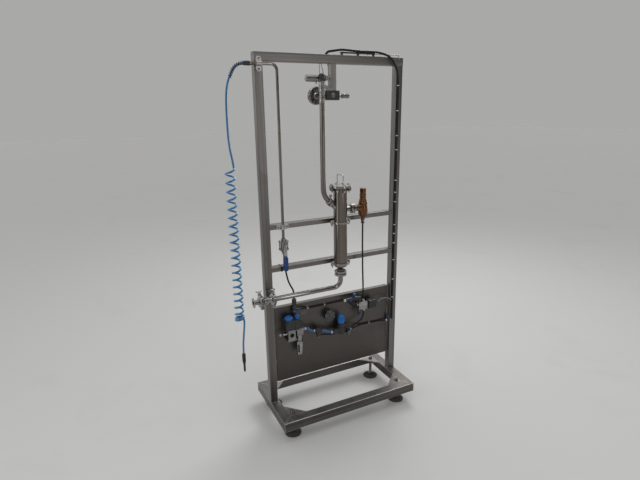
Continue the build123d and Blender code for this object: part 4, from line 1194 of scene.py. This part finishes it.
class EXCHANGER_OT_cover_bolts(Maker, bpy.types.Operator):
    """Bolts the cover to the flange of the shell"""

    bl_idname = "exchanger.cover_bolts"
    bl_label = "Cover bolts"

    def make(self, scene):
        thread = scene.exchanger_fasteners.cover_thread
        bolts = Blank()
        for i, angle in enumerate(circle(8)):
            x, y = 46 * math.cos(angle), PIPE_Y + 46 * math.sin(angle)
            bolts.hex_head(at(x, y, 1285.6), UP, thread, 30 + 17 * i)
            bolts.hex_nut(at(x, y, 1260.2), DOWN, thread, 11 * i, 1.1)
        for side in SIDES:
            stud = [(0, 5.2), (1.6, 4.6), (3, 2.7)]
            bolts.turned(at(0, PIPE_Y + side * 31, 1285.8), UP, stud, 24)
        bolts.piece("cover_bolts", "stand", "plated_steel", "Bolt steel", soften=0.15)
        seal = Blank()
        seal.band(at(0, PIPE_Y, 1274), UP, 56.6, 2.4, 0.7, 72)
        seal.piece("cover_seal", "stand", "black_rubber", "Near black and painted recess shade")


class EXCHANGER_OT_clamp_bolts(Maker, bpy.types.Operator):
    """Bolts the clamps of the shell and of the outlet"""

    bl_idname = "exchanger.clamp_bolts"
    bl_label = "Clamp bolts"

    def make(self, scene):
        thread = scene.exchanger_fasteners.clamp_thread
        bolts = Blank()
        for height in RAIL_HEIGHTS:
            for side in SIDES:
                bolts.hex_head(at(side * 49, PIPE_Y, height + 5), UP, thread, 12)
                bolts.hex_nut(at(side * 49, PIPE_Y, height - 5), DOWN, thread, 40, 1.0)
        for middle, turn in ((OUTLET_X, 0), (FERRULE_X, 35)):
            ear = Vector((0, math.sin(math.radians(turn)), math.cos(math.radians(turn))))
            axis = at(middle, PIPE_Y, OUTLET_Z)
            for side in SIDES:
                pin = axis + ear * (side * 0.0365)
                for face in (LEFT, RIGHT):
                    bolts.hex_head(pin + face * 0.006, face, 4.4, 20)
        seat = axis + ear * 0.0412
        bolts.turned(seat, ear, [(0, 6.5), (5, 6.5), (9, 4.5), (11, 4.2), (13, 2.8)], 24)
        for side in (LEFT, RIGHT):
            root, tip = seat + ear * 0.004 + side * 0.003, seat + ear * 0.011 + side * 0.013
            bolts.tube([root, tip, tip + ear * 0.005], [2.0, 2.6, 1.7], 10)
        bolts.hex_head(at(OUTLET_X, PIPE_Y, 801.8), UP, 4.0, 15)
        bolts.piece("clamp_bolts", "stand", "plated_steel", "Bolt steel", soften=0.15)


class EXCHANGER_OT_clip_screws(Maker, bpy.types.Operator):
    """Screws the tube clips, the holder and the hanger plate on"""

    bl_idname = "exchanger.clip_screws"
    bl_label = "Clip screws"

    def make(self, scene):
        radius = scene.exchanger_fasteners.clip_screw
        screws = Blank()
        for step in (-23, 23):
            screws.pan_head(at(-380, -19, AIR_Z + step), FORWARD, radius)
            screws.pan_head(at(BALL_X + step, -19, RAIL_HEIGHTS[0]), FORWARD, radius)
            screws.pan_head(at(OUTLET_X, -18, OUTLET_Z + step), FORWARD, radius * 0.9)
        for z, turn in ((1790, 10), (1752, 40)):
            screws.hex_head(at(-20, -12, z), FORWARD, 5.5, turn)
        for x, z in ((374, 1890), (386, 1872), (-372, 1880)):
            screws.pan_head(at(x, -14, z), FORWARD, 4.2)
        for step in (-24, 24):
            screws.pan_head(at(142 + step * 3.4, POST_Y, 1916), UP, 3.4)
        hook = ((-32, 1800), (-32, 1809), (-29, 1813), (-25, 1811), (-24, 1806))
        screws.tube([at(x, -13.5, z) for x, z in hook], 1.5, 10)
        screws.piece("clip_screws", "stand", "plated_steel", "Bolt steel", "Near black and painted recess shade", soften=0.12)


class EXCHANGER_OT_pipe_details(Maker, bpy.types.Operator):
    """Adds grooves, seals and rings to the unions, the tee and the level sensor"""

    bl_idname = "exchanger.pipe_details"
    bl_label = "Union and sensor details"

    def make(self, scene):
        seals = Blank()
        slope = Vector((-1, 0, 1)).normalized()
        for middle, direction, radius, half in (
            (at(0, PIPE_Y, 821), UP, 27.0, 0.8),
            (at(0, PIPE_Y, 1144) + slope * 0.0845, slope, 17.4, 0.8),
            (at(70, PIPE_Y, 1158), RIGHT, 20.8, 0.8),
            (at(OUTLET_X, PIPE_Y, OUTLET_Z), RIGHT, 32.3, 0.8),
            (at(FERRULE_X, PIPE_Y, OUTLET_Z), RIGHT, 32.3, 0.8),
            (at(-117, PIPE_Y, 1787), RIGHT, 13.6, 0.8),
            (at(-95, -6, PLUG_Z), BACK, 42.3, 1.1),
        ):
            seals.band(middle, direction, radius, 1, half)
        seals.piece("union_seals", "stand", "black_rubber", "Near black and painted recess shade")

        knurls = Blank()
        for x, length in ((50.5, 13), (71, 17)):
            knurls.ribs(at(x, POST_Y, PLUG_Z), RIGHT, 10.9, length, 26, 0.62, math.pi / 2)
        knurls.ribs(at(-130, PIPE_Y, 1787), LEFT, 14.9, 30, 18, 0.7, math.pi / 2)
        knurls.piece("plug_knurls", "stand", "plated_steel", "Plated steel")

        grip = Blank()
        grip.ribs(at(SENSOR_X, -88.5, SENSOR_Z), FORWARD, 14.4, 8.2, 20, 1.0)
        grip.turned(at(SENSOR_X, -100, SENSOR_Z), FORWARD, [(0, 6.5), (0.8, 6.2), (1.2, 2.0)], 32)
        grip.piece("sensor_grip", "stand", "black_plastic", "Black plastic")

        box = Blank()
        for x in (-36, 24):
            for y in (-6, 18):
                box.pan_head(at(x, y, 1693), DOWN, 2.6)
        box.turned(at(-6, -14, 1715), FORWARD, [(0, 11), (1.2, 11), (2, 10)], 40)
        box.piece("transmitter_screws", "stand", "plated_steel", "Bolt steel", "Near black and painted recess shade")


class EXCHANGER_OT_ball_valve(Maker, bpy.types.Operator):
    """Adds the body bolts, the lever nut and the bare end of the lever"""

    bl_idname = "exchanger.ball_valve"
    bl_label = "Ball valve"

    def make(self, scene):
        bolts = Blank()
        for side in SIDES:
            for y in (-33, -15):
                low, high = at(BALL_X + side * 18.5, y, 979), at(BALL_X + side * 18.5, y, 1023)
                bolts.turned(low, UP, [(0, 2.6), (44, 2.6)], 16)
                bolts.hex_head(high, UP, 4.6, 10)
                bolts.hex_head(low, DOWN, 4.6, 35)
        bolts.piece("valve_bolts", "stand", "plated_steel", "Bolt steel", soften=0.1)

        strip = Blank()
        front = -48.4
        outline = [(x, 1002.5 + z) for x, z in arc(8.7, 0, 180, 16)]
        outline += [(-8.7, 962), (-7, 949), (7, 949), (8.7, 962)]
        strip.skin([[at(BALL_X + x, y, z) for x, z in outline] for y in (-44.9, front)])
        strip.hex_nut(at(BALL_X, front, 1001), FORWARD, 7.5, 15, 0.5)
        strip.turned(at(BALL_X, front, 978), FORWARD, [(0, 3.2), (0.8, 3.0), (1.2, 2.0)], 20)
        strip.piece("lever_strip", "valve_lever", "plated_steel", "Bolt steel", soften=0.3)

        grip = Blank()
        for i in range(9):
            rib = [(0, 0.3), (2, 1.0), (18, 1.0), (20, 0.3)]
            grip.turned(at(BALL_X - 10, -52.3, 883 + i * 6.4), RIGHT, rib, 8)
        grip.piece("lever_ribs", "valve_lever", "blue_plastic", "Lever grip")


class EXCHANGER_OT_safety_valve(Maker, bpy.types.Operator):
    """Adds the turned cap, the nut and the parting line of the safety valve"""

    bl_idname = "exchanger.safety_valve"
    bl_label = "Safety valve"

    def make(self, scene):
        cap = Blank()
        cap.turned(at(VALVE_X, PIPE_Y, 1258), UP, [(0, 12), (1.6, 11), (2.4, 8)], 32)
        for height in (1216.2, 1228):
            cap.turned(at(VALVE_X, PIPE_Y, height), UP, [(0, 17.4), (1.2, 17.9), (2.4, 17.4)], 40)
        neck = [(11, 22.2), (13, 21.2), (20, 20.2), (22, 18.6), (24, 17.4)]
        cap.turned(at(VALVE_X, PIPE_Y, 1176), UP, [(0, 22.4), (1.6, 23.4), (9.5, 23.4), *neck], 48)
        belly = [(0, 21.6), (5, 23.8), (12, 25.0), (34, 25.0), (44, 24.2), (50, 22.6), (54, 21.2)]
        cap.turned(at(VALVE_X, PIPE_Y, 1120), UP, belly, 48)
        hub = [(0, 20.5), (8, 18.4), (16, 15.6), (21, 14.2)]
        cap.turned(at(114, PIPE_Y, 1158), LEFT, hub, 40)
        cap.piece("bonnet_rings", "stand", "bronze", "Cast bronze", soften=0.2)

        # Near-black bands in the creases between the bronze rings: painted shade in the grooves.
        groove_shade = Blank()
        for height, radius in ((1175.4, 22.9), (1201.2, 17.9), (1214.8, 17.7), (1226.6, 17.7)):
            groove_shade.band(at(VALVE_X, PIPE_Y, height), UP, radius, 1.6, 0.7)
        groove_shade.piece("bonnet_groove_shade", "stand", "bronze", "Near black and painted recess shade")

        line = Blank()
        profile = ((9, 12.3), (20, 20.6), (25, 22.6), (60, 23.1), (78, 22.1), (88, 19.6))
        profile += ((102, 17.6), (117, 16.6))
        for side in SIDES:
            line.tube([at(VALVE_X, PIPE_Y + side * r, 1093 + h) for h, r in profile], 0.7, 6)
        line.piece("casting_line", "stand", "bronze", "Cast bronze")

        nut = Blank()
        nut.turned(at(VALVE_X, PIPE_Y, 1082), DOWN, [(0, 8.6), (2, 8.8), (7, 8.8), (9, 7.2)], 32)
        nut.ribs(at(VALVE_X, PIPE_Y, 1079.5), DOWN, 8.7, 4.5, 16, 0.7)
        nut.piece("relief_nut", "stand", "black_plastic", "Black plastic")


class EXCHANGER_OT_gauge_dials(Maker, bpy.types.Operator):
    """Makes the dials, pointers, bezels and lenses of both gauges"""

    bl_idname = "exchanger.gauge_dials"
    bl_label = "Gauge dials"

    def dial(self, name, middle, radius, ticks, pointer, face, ink):
        def ray(degrees):
            """A length of the dial's radius, from its middle outwards."""
            angle = math.radians(degrees)
            return Vector((math.cos(angle), 0, math.sin(angle))) * (radius / 1000)

        plate = Blank()
        plate.turned(middle, FORWARD, [(0, radius), (0.4, radius)], 64)
        plate.slot = 1
        for i in range(ticks):
            reach, length, width = (0.79, 0.08, 0.007) if i % 5 else (0.7, 0.16, 0.012)
            ahead = ray(225 - 270 * i / (ticks - 1))
            start = middle + FORWARD * 0.00052 + ahead * reach
            plate.tube([start, start + ahead * length], radius * width, 6)
        hub, ahead = middle + FORWARD * 0.0014, ray(pointer)
        hand = [hub - ahead * 0.25, hub + ahead * 0.72]
        plate.tube(hand, [radius * 0.035, radius * 0.012], 6)
        boss = [(0, radius * 0.1), (1.6, radius * 0.1), (2.0, radius * 0.05)]
        plate.turned(middle + FORWARD * 0.0004, FORWARD, boss, 20)
        plate.piece(name, "stand", "black_plastic", face, ink)

    def make(self, scene):
        big, small = at(DIAL_X, -21.1, DIAL_Z), at(SMALL_DIAL_X, -57.1, SMALL_DIAL_Z)
        self.dial("panel_dial", big, 27.4, 21, 205, "Dark dial face", "Faded ink")
        self.dial("small_dial", small, 11.4, 16, 230, "Dial face", "Near black and painted recess shade")
        bezels = Blank()
        ring = [(21.4, 31.3), (28.4, 31.3), (29.6, 30.4), (29.6, 28.6), (28.2, 27.8), (26.6, 27.8)]
        bezels.turned(at(DIAL_X, 5, DIAL_Z), FORWARD, ring, 72, closed=True)
        ring = [(12, 14.3), (18.1, 14.3), (18.8, 13.6), (18.8, 12.4), (18.2, 11.9), (17.2, 11.9)]
        bezels.turned(at(SMALL_DIAL_X, -40, SMALL_DIAL_Z), FORWARD, ring, 56, closed=True)
        # A bright steel wire along the lower inner edge of the big bezel is a painted reflection, the bright
        # crescent that the bezel would reflect.
        bezels.slot = 1
        painted_reflection_arc = [at(DIAL_X + x, -25.3, DIAL_Z + z) for x, z in arc(28.8, 198, 144, 24)]
        bezels.tube(painted_reflection_arc, 1.3, 8)
        bezels.piece("gauge_bezels", "stand", "polished_steel", "Dark chrome", "Bright pipe")
        lens = Blank()
        glass = [(0, 27.9), (1.2, 27.9), (1.6, 26.5)]
        lens.turned(at(DIAL_X, -23.6, DIAL_Z), FORWARD, glass, 64)
        glass = [(0, 12.0), (0.7, 12.0), (1.0, 11.0)]
        lens.turned(at(SMALL_DIAL_X, -57.6, SMALL_DIAL_Z), FORWARD, glass, 48)
        lens.piece("gauge_lenses", "stand", "grey_plastic", "Gauge lens")


class EXCHANGER_OT_service_unit(Maker, bpy.types.Operator):
    """Adds caps' ribs, screws, seams, the sight slit and the collars of the service unit"""

    bl_idname = "exchanger.service_unit"
    bl_label = "Service unit details"

    def make(self, scene):
        ribs = Blank()
        ribs.ribs(at(CAP_X, GEAR_Y, 600.5), UP, 20.9, 9, 28, 0.85)
        ribs.ribs(at(-242, -36, 601.5), UP, 10.9, 11, 18, 0.85)
        ribs.turned(at(CAP_X, GEAR_Y, 614.5), UP, [(0, 13), (1.0, 12.6), (1.4, 3)], 40)
        ribs.piece("cap_ribs", "stand", "blue_plastic", "Blue plastic")

        # Near-black seams and dots on the body, and near-black fillers in hollows as painted shade.
        trim = Blank()
        trim.block(at(-268, -50.6, 568), (85, 1.2, 1.0))
        trim.block(at(-262, -51, 568), (1.0, 8.0, 54))
        for x in (-303, -233):
            for z in (547, 589):
                trim.turned(at(x, -53.6, z), FORWARD, [(0, 2.8), (0.6, 2.8)], 20)
        # Painted shade: a near-black disc fills the port inside the metal ring.
        trim.turned(at(UNIT_X, -45.0, 510.5), BACK, [(0, 11.6), (3.0, 11.6)], 40)
        # Painted shade: a near-black block fills the sight slit of the bowl guard.
        ahead = Vector((-math.sin(math.radians(38)), -math.cos(math.radians(38)), 0))
        trim.block(at(BOWL_X, GEAR_Y, 424) + ahead * 0.0172, (8.5, 2.6, 45), -38)
        trim.piece("unit_seams_and_recess_shade", "stand", "black_plastic", "Near black and painted recess shade", soften=0.2)

        metal = Blank()
        ring = [(-0.4, 15.2), (1.6, 15.2), (1.6, 12.6), (-0.4, 12.2)]
        metal.turned(at(UNIT_X, -46, 510.5), FORWARD, ring, 48, closed=True)
        for z in (481, 536):
            for x in (-297, -257):
                metal.socket_head(at(x, -46, z), FORWARD, 3.4)
        for z in (533, 504):
            for x in (-239, -219):
                metal.socket_head(at(x, -44, z), FORWARD, 3.0)
        sleeve = [(0, 15.4), (0.8, 17.4), (3, 18.0), (72, 18.0), (74, 17.2), (74, 16.2), (2, 16.2)]
        metal.turned(at(BOWL_X, GEAR_Y, 387.5), UP, sleeve, 56, closed=True)
        for height, steps, sides in (
            (387.6, [(0, 15.6), (1.2, 16.3)], 56),
            (492, [(-1.5, 14.6), (0, 15.4), (5, 15.4), (6.4, 14.2)], 44),
            (460, [(-1, 17.6), (0, 18.0), (2, 18.0), (3, 17.2)], 48),
        ):
            metal.turned(at(BOWL_X, GEAR_Y, height), UP, steps, sides)
        metal.turned(at(-341, GEAR_Y, 518.5), LEFT, [(-9, 9.6), (-2, 9.6), (0, 8.6)], 6, 10)
        metal.piece("unit_metal", "stand", "plated_steel", "Bolt steel", "Near black and painted recess shade", soften=0.25)


class EXCHANGER_OT_regulator(Maker, bpy.types.Operator):
    """Adds the grip ribs of the regulator's knob and the collars of its ports"""

    bl_idname = "exchanger.regulator"
    bl_label = "Regulator details"

    def make(self, scene):
        grip = Blank()
        for c, s in ((math.cos(angle), math.sin(angle)) for angle in circle(24)):
            foot = at(KNOB_X + 18.4 * c, GEAR_Y + 18.4 * s, 513.5)
            top = at(KNOB_X + 17.5 * c, GEAR_Y + 17.5 * s, 547.5)
            grip.tube([foot, foot + UP * 0.019, top], 0.9, 6)
        grip.turned(at(KNOB_X, GEAR_Y, 559.2), UP, [(0, 6.5), (0.9, 6.0), (1.1, 1.0)], 32)
        grip.piece("knob_ribs", "setting_knob", "blue_plastic", "Blue plastic")

        body = Blank()
        rim = [(-1, 24.2), (0, 24.8), (2.5, 24.8), (3.5, 24.2)]
        body.turned(at(KNOB_X, GEAR_Y, 483.6), UP, rim, 48)
        body.ribs(at(KNOB_X, GEAR_Y, 455), UP, 23.9, 25, 16, 0.9)
        body.piece("regulator_ribs", "stand", "black_plastic", "Black plastic")


class EXCHANGER_OT_solenoid(Maker, bpy.types.Operator):
    """Adds the screws, the nut and the fins of the solenoid valve"""

    bl_idname = "exchanger.solenoid"
    bl_label = "Solenoid details"

    def make(self, scene):
        screws = Blank()
        for x in (140, 180):
            for z in (570.5, 605.5):
                screws.socket_head(at(x, -46, z), FORWARD, 4.2)
        screws.turned(at(245, GEAR_Y, COIL_Z), RIGHT, [(-1, 13.2), (1.5, 13.2), (2.5, 12.4)], 32)
        screws.turned(at(160, -46, COIL_Z), FORWARD, [(0, 10), (1, 10), (1.8, 9.2)], 40)
        screws.piece("solenoid_screws", "stand", "plated_steel", "Bolt steel", "Near black and painted recess shade", soften=0.2)
        coil = Blank()
        for i in range(5):
            coil.block(at(200 + 9.4 * i, -50.2, COIL_Z), (3.4, 1.2, 37))
            coil.block(at(200 + 9.4 * i, GEAR_Y, 612.2), (3.4, 30, 1.2))
        boot = [(-4, 7.4), (0, 6.2), (8, 4.2), (11, 3.4)]
        coil.turned(at(253, GEAR_Y, COIL_Z), RIGHT, boot, 24)
        coil.piece("coil_fins", "stand", "black_plastic", "Black plastic", soften=0.3)


class EXCHANGER_OT_collars(Maker, bpy.types.Operator):
    """Adds the release rings and nuts of the push-in fittings"""

    bl_idname = "exchanger.collars"
    bl_label = "Fitting collars"

    def collars(self, rows):
        """A mesh of release rings, by their places, directions, radii and lengths."""
        made = Blank()
        for x, y, z, direction, radius, length in rows:
            steps = [(0, radius - 0.6), (0.8, radius), (length - 1, radius), (length, radius - 1)]
            made.turned(at(x, y, z), direction, steps)
        return made

    def make(self, scene):
        light = self.collars(
            (
                (-32.5, GEAR_Y, 466, LEFT, 8.4, 7),
                (78, GEAR_Y, 459, RIGHT, 6.6, 8),
                (52.2, GEAR_Y, 636, LEFT, 8.0, 8),
                (342.4, -8, 447, LEFT, 6.4, 7),
                (-197.2, GEAR_Y, 524.5, RIGHT, 7.4, 6),
                (-140, GEAR_Y, 500.5, LEFT, 8.2, 4),
            )
        )
        light.piece("light_collars", "stand", "grey_plastic", "Light plastic")

        dark = self.collars(
            (
                (88, GEAR_Y, 636, LEFT, 11.4, 10),
                (140, GEAR_Y, 543, DOWN, 10.4, 9),
                (351, -8, 468, UP, 8.4, 9),
                (78, GEAR_Y, 471, RIGHT, 6.6, 6),
            )
        )
        dark.turned(at(108, GEAR_Y, 652.6), UP, [(0, 9.5), (11, 9.5), (14.6, 6.6)], 32)
        dark.piece("blue_collars", "stand", "blue_plastic", "Deep blue plastic")

        teal = self.collars(((-246, -12, 628, UP, 11.4, 8), (-222.2, -12, 636, RIGHT, 7.2, 5)))
        teal.turned(at(108, GEAR_Y, 663), UP, [(0, 7.4), (3.2, 7.0), (4.6, 4.6)], 32)
        teal.piece("teal_collars", "stand", "blue_plastic", "Blue plastic")

        nuts = Blank()
        for x, y, z, direction, radius, length in (
            (-246, -12, 597, UP, 9.4, 7),
            (-246, -12, 690, UP, 10.8, 8),
            (-118, GEAR_Y, 462, DOWN, 8.2, 6),
            (140, GEAR_Y, 560, DOWN, 8.2, 6),
            (164, GEAR_Y, 618, UP, 9.4, 7),
            (BALL_X, AIR_Y, 966, DOWN, 8.4, 12),
        ):
            steps = [(0, radius), (length - 1, radius), (length, 0.86 * radius)]
            nuts.turned(at(x, y, z), direction, steps, 6, 12)
        nuts.piece("fitting_nuts", "stand", "plated_steel", "Bolt steel", soften=0.2)


class EXCHANGER_OT_panel_trim(Maker, bpy.types.Operator):
    """Adds the blank label plate, the hose saddles and a black band with a small block around the lower rail
    """

    bl_idname = "exchanger.panel_trim"
    bl_label = "Panel trim"

    def make(self, scene):
        label = Blank()
        label.block(at(-189, 4.5, 602), (34, 0.8, 21))
        label.piece("label_plate", "stand", "grey_plastic", "Blank label", soften=0.3)

        saddles = Blank()
        back, front, inner, outer, foot = 4.9, 4.0, 5.0, 5.9, 10
        for x, y, z in ((-166, -0.6, 626.3), (-64, 0.5, 625), (224, 0.5, 451)):
            over, under = (
                [(y + ahead, z + upward) for ahead, upward in arc(reach, 90, 180, 12)]
                for reach in (outer, inner)
            )
            outline = [(back, z + foot), (front, z + foot), (front, z + outer), *over]
            outline += [(front, z - outer), (front, z - foot), (back, z - foot), (back, z - inner)]
            outline += [*reversed(under), (back, z + inner)]
            saddles.skin([[at(x + side, a, b) for a, b in outline] for side in (-4.5, 4.5)])
            for step in (-8, 8):
                saddles.pan_head(at(x, front, z + step), FORWARD, 2.2)
        saddles.piece("hose_saddles", "stand", "plated_steel", "Bolt steel", "Near black and painted recess shade")

        # A black band with a small block, around the lower rail.
        strap = Blank()
        loop = ((-14.9, 862), (-14.9, 888.2), (26.9, 888.2), (26.9, 862))
        run = [at(-308, y, z) for y, z in loop]
        for start, end in zip(run, run[1:] + run[:1]):
            span = (end - start) * 1000
            size = (9, max(1.0, abs(span.y) + 1), max(1.0, abs(span.z) + 1))
            strap.block((start + end) / 2, size)
        strap.block(at(-308, -16.5, 868), (10, 4, 6))
        strap.piece("rail_black_band", "stand", "black_plastic", "Foot rubber", soften=0.3)


class EXCHANGER_OT_cable_ties(Maker, bpy.types.Operator):
    """Ties the cable bundle along the right post and over the beam"""

    bl_idname = "exchanger.cable_ties"
    bl_label = "Cable ties"

    def make(self, scene):
        ties = Blank()
        for height in (1764, 1639, 1512, 1438, 1275, 1209, 1157, 1027, 976, 922, 822, 705, 593):
            self.tie(ties, at(370, -19.6, height), UP, 6.3)
        ties.piece("cable_ties", "stand", "grey_plastic", "Light plastic", soften=0.15)
        dark = Blank()
        for x in (150, 200):
            loop = [
                at(x, POST_Y + 9.0 * math.sin(angle), 1918 + 10.2 * math.cos(angle))
                for angle in circle(24)
            ]
            dark.tube(loop, 0.9, 8, closed=True)
        dark.piece("beam_ties", "stand", "black_plastic", "Black plastic")

    def tie(self, blank, middle, axis, radius):
        """A strap around the bundle with its square lock and its cut end."""
        blank.band(middle, axis, radius, 0.7, 1.8, 32)
        lock = middle + Vector((-0.0045, -0.0052, 0))
        blank.block(lock, (4.6, 4.0, 4.8), 40)
        blank.block(lock + Vector((-0.0035, -0.001, 0)), (5.0, 1.0, 2.6), 20)


class EXCHANGER_PT_sidebar(bpy.types.Panel):
    """Settings and steps of the heat exchanger"""

    bl_label = "Heat exchanger stand"
    bl_idname = "EXCHANGER_PT_sidebar"
    bl_space_type = "VIEW_3D"
    bl_region_type = "UI"
    bl_category = "Exchanger"

    def draw(self, context):
        for group in SETTINGS:
            settings = getattr(context.scene, group)
            box = self.layout.box()
            for name in settings.__annotations__:
                box.prop(settings, name)
        for step in STEPS:
            self.layout.operator(step.bl_idname)


SETTINGS = {
    "exchanger_finish": ExchangerFinish,
    "exchanger_hose": ExchangerHose,
    "exchanger_fasteners": ExchangerFasteners,
    "exchanger_stage": ExchangerStage,
}

STEPS = (
    EXCHANGER_OT_effects,
    EXCHANGER_OT_stage,
    EXCHANGER_OT_air_hose,
    EXCHANGER_OT_bodies,
    EXCHANGER_OT_tube_edges,
    EXCHANGER_OT_weld_seams,
    EXCHANGER_OT_feet,
    EXCHANGER_OT_cover_bolts,
    EXCHANGER_OT_clamp_bolts,
    EXCHANGER_OT_clip_screws,
    EXCHANGER_OT_pipe_details,
    EXCHANGER_OT_ball_valve,
    EXCHANGER_OT_safety_valve,
    EXCHANGER_OT_gauge_dials,
    EXCHANGER_OT_service_unit,
    EXCHANGER_OT_regulator,
    EXCHANGER_OT_solenoid,
    EXCHANGER_OT_collars,
    EXCHANGER_OT_panel_trim,
    EXCHANGER_OT_cable_ties,
)


def register():
    for made in (*SETTINGS.values(), *STEPS, EXCHANGER_PT_sidebar):
        bpy.utils.register_class(made)
    for name, kind in SETTINGS.items():
        setattr(bpy.types.Scene, name, PointerProperty(type=kind))


def unregister():
    for name in SETTINGS:
        delattr(bpy.types.Scene, name)
    for made in reversed((*SETTINGS.values(), *STEPS, EXCHANGER_PT_sidebar)):
        bpy.utils.unregister_class(made)


def main():
    register()
    for step in STEPS:
        family, name = step.bl_idname.split(".")
        getattr(getattr(bpy.ops, family), name)()


if __name__ == "__main__":
    main()
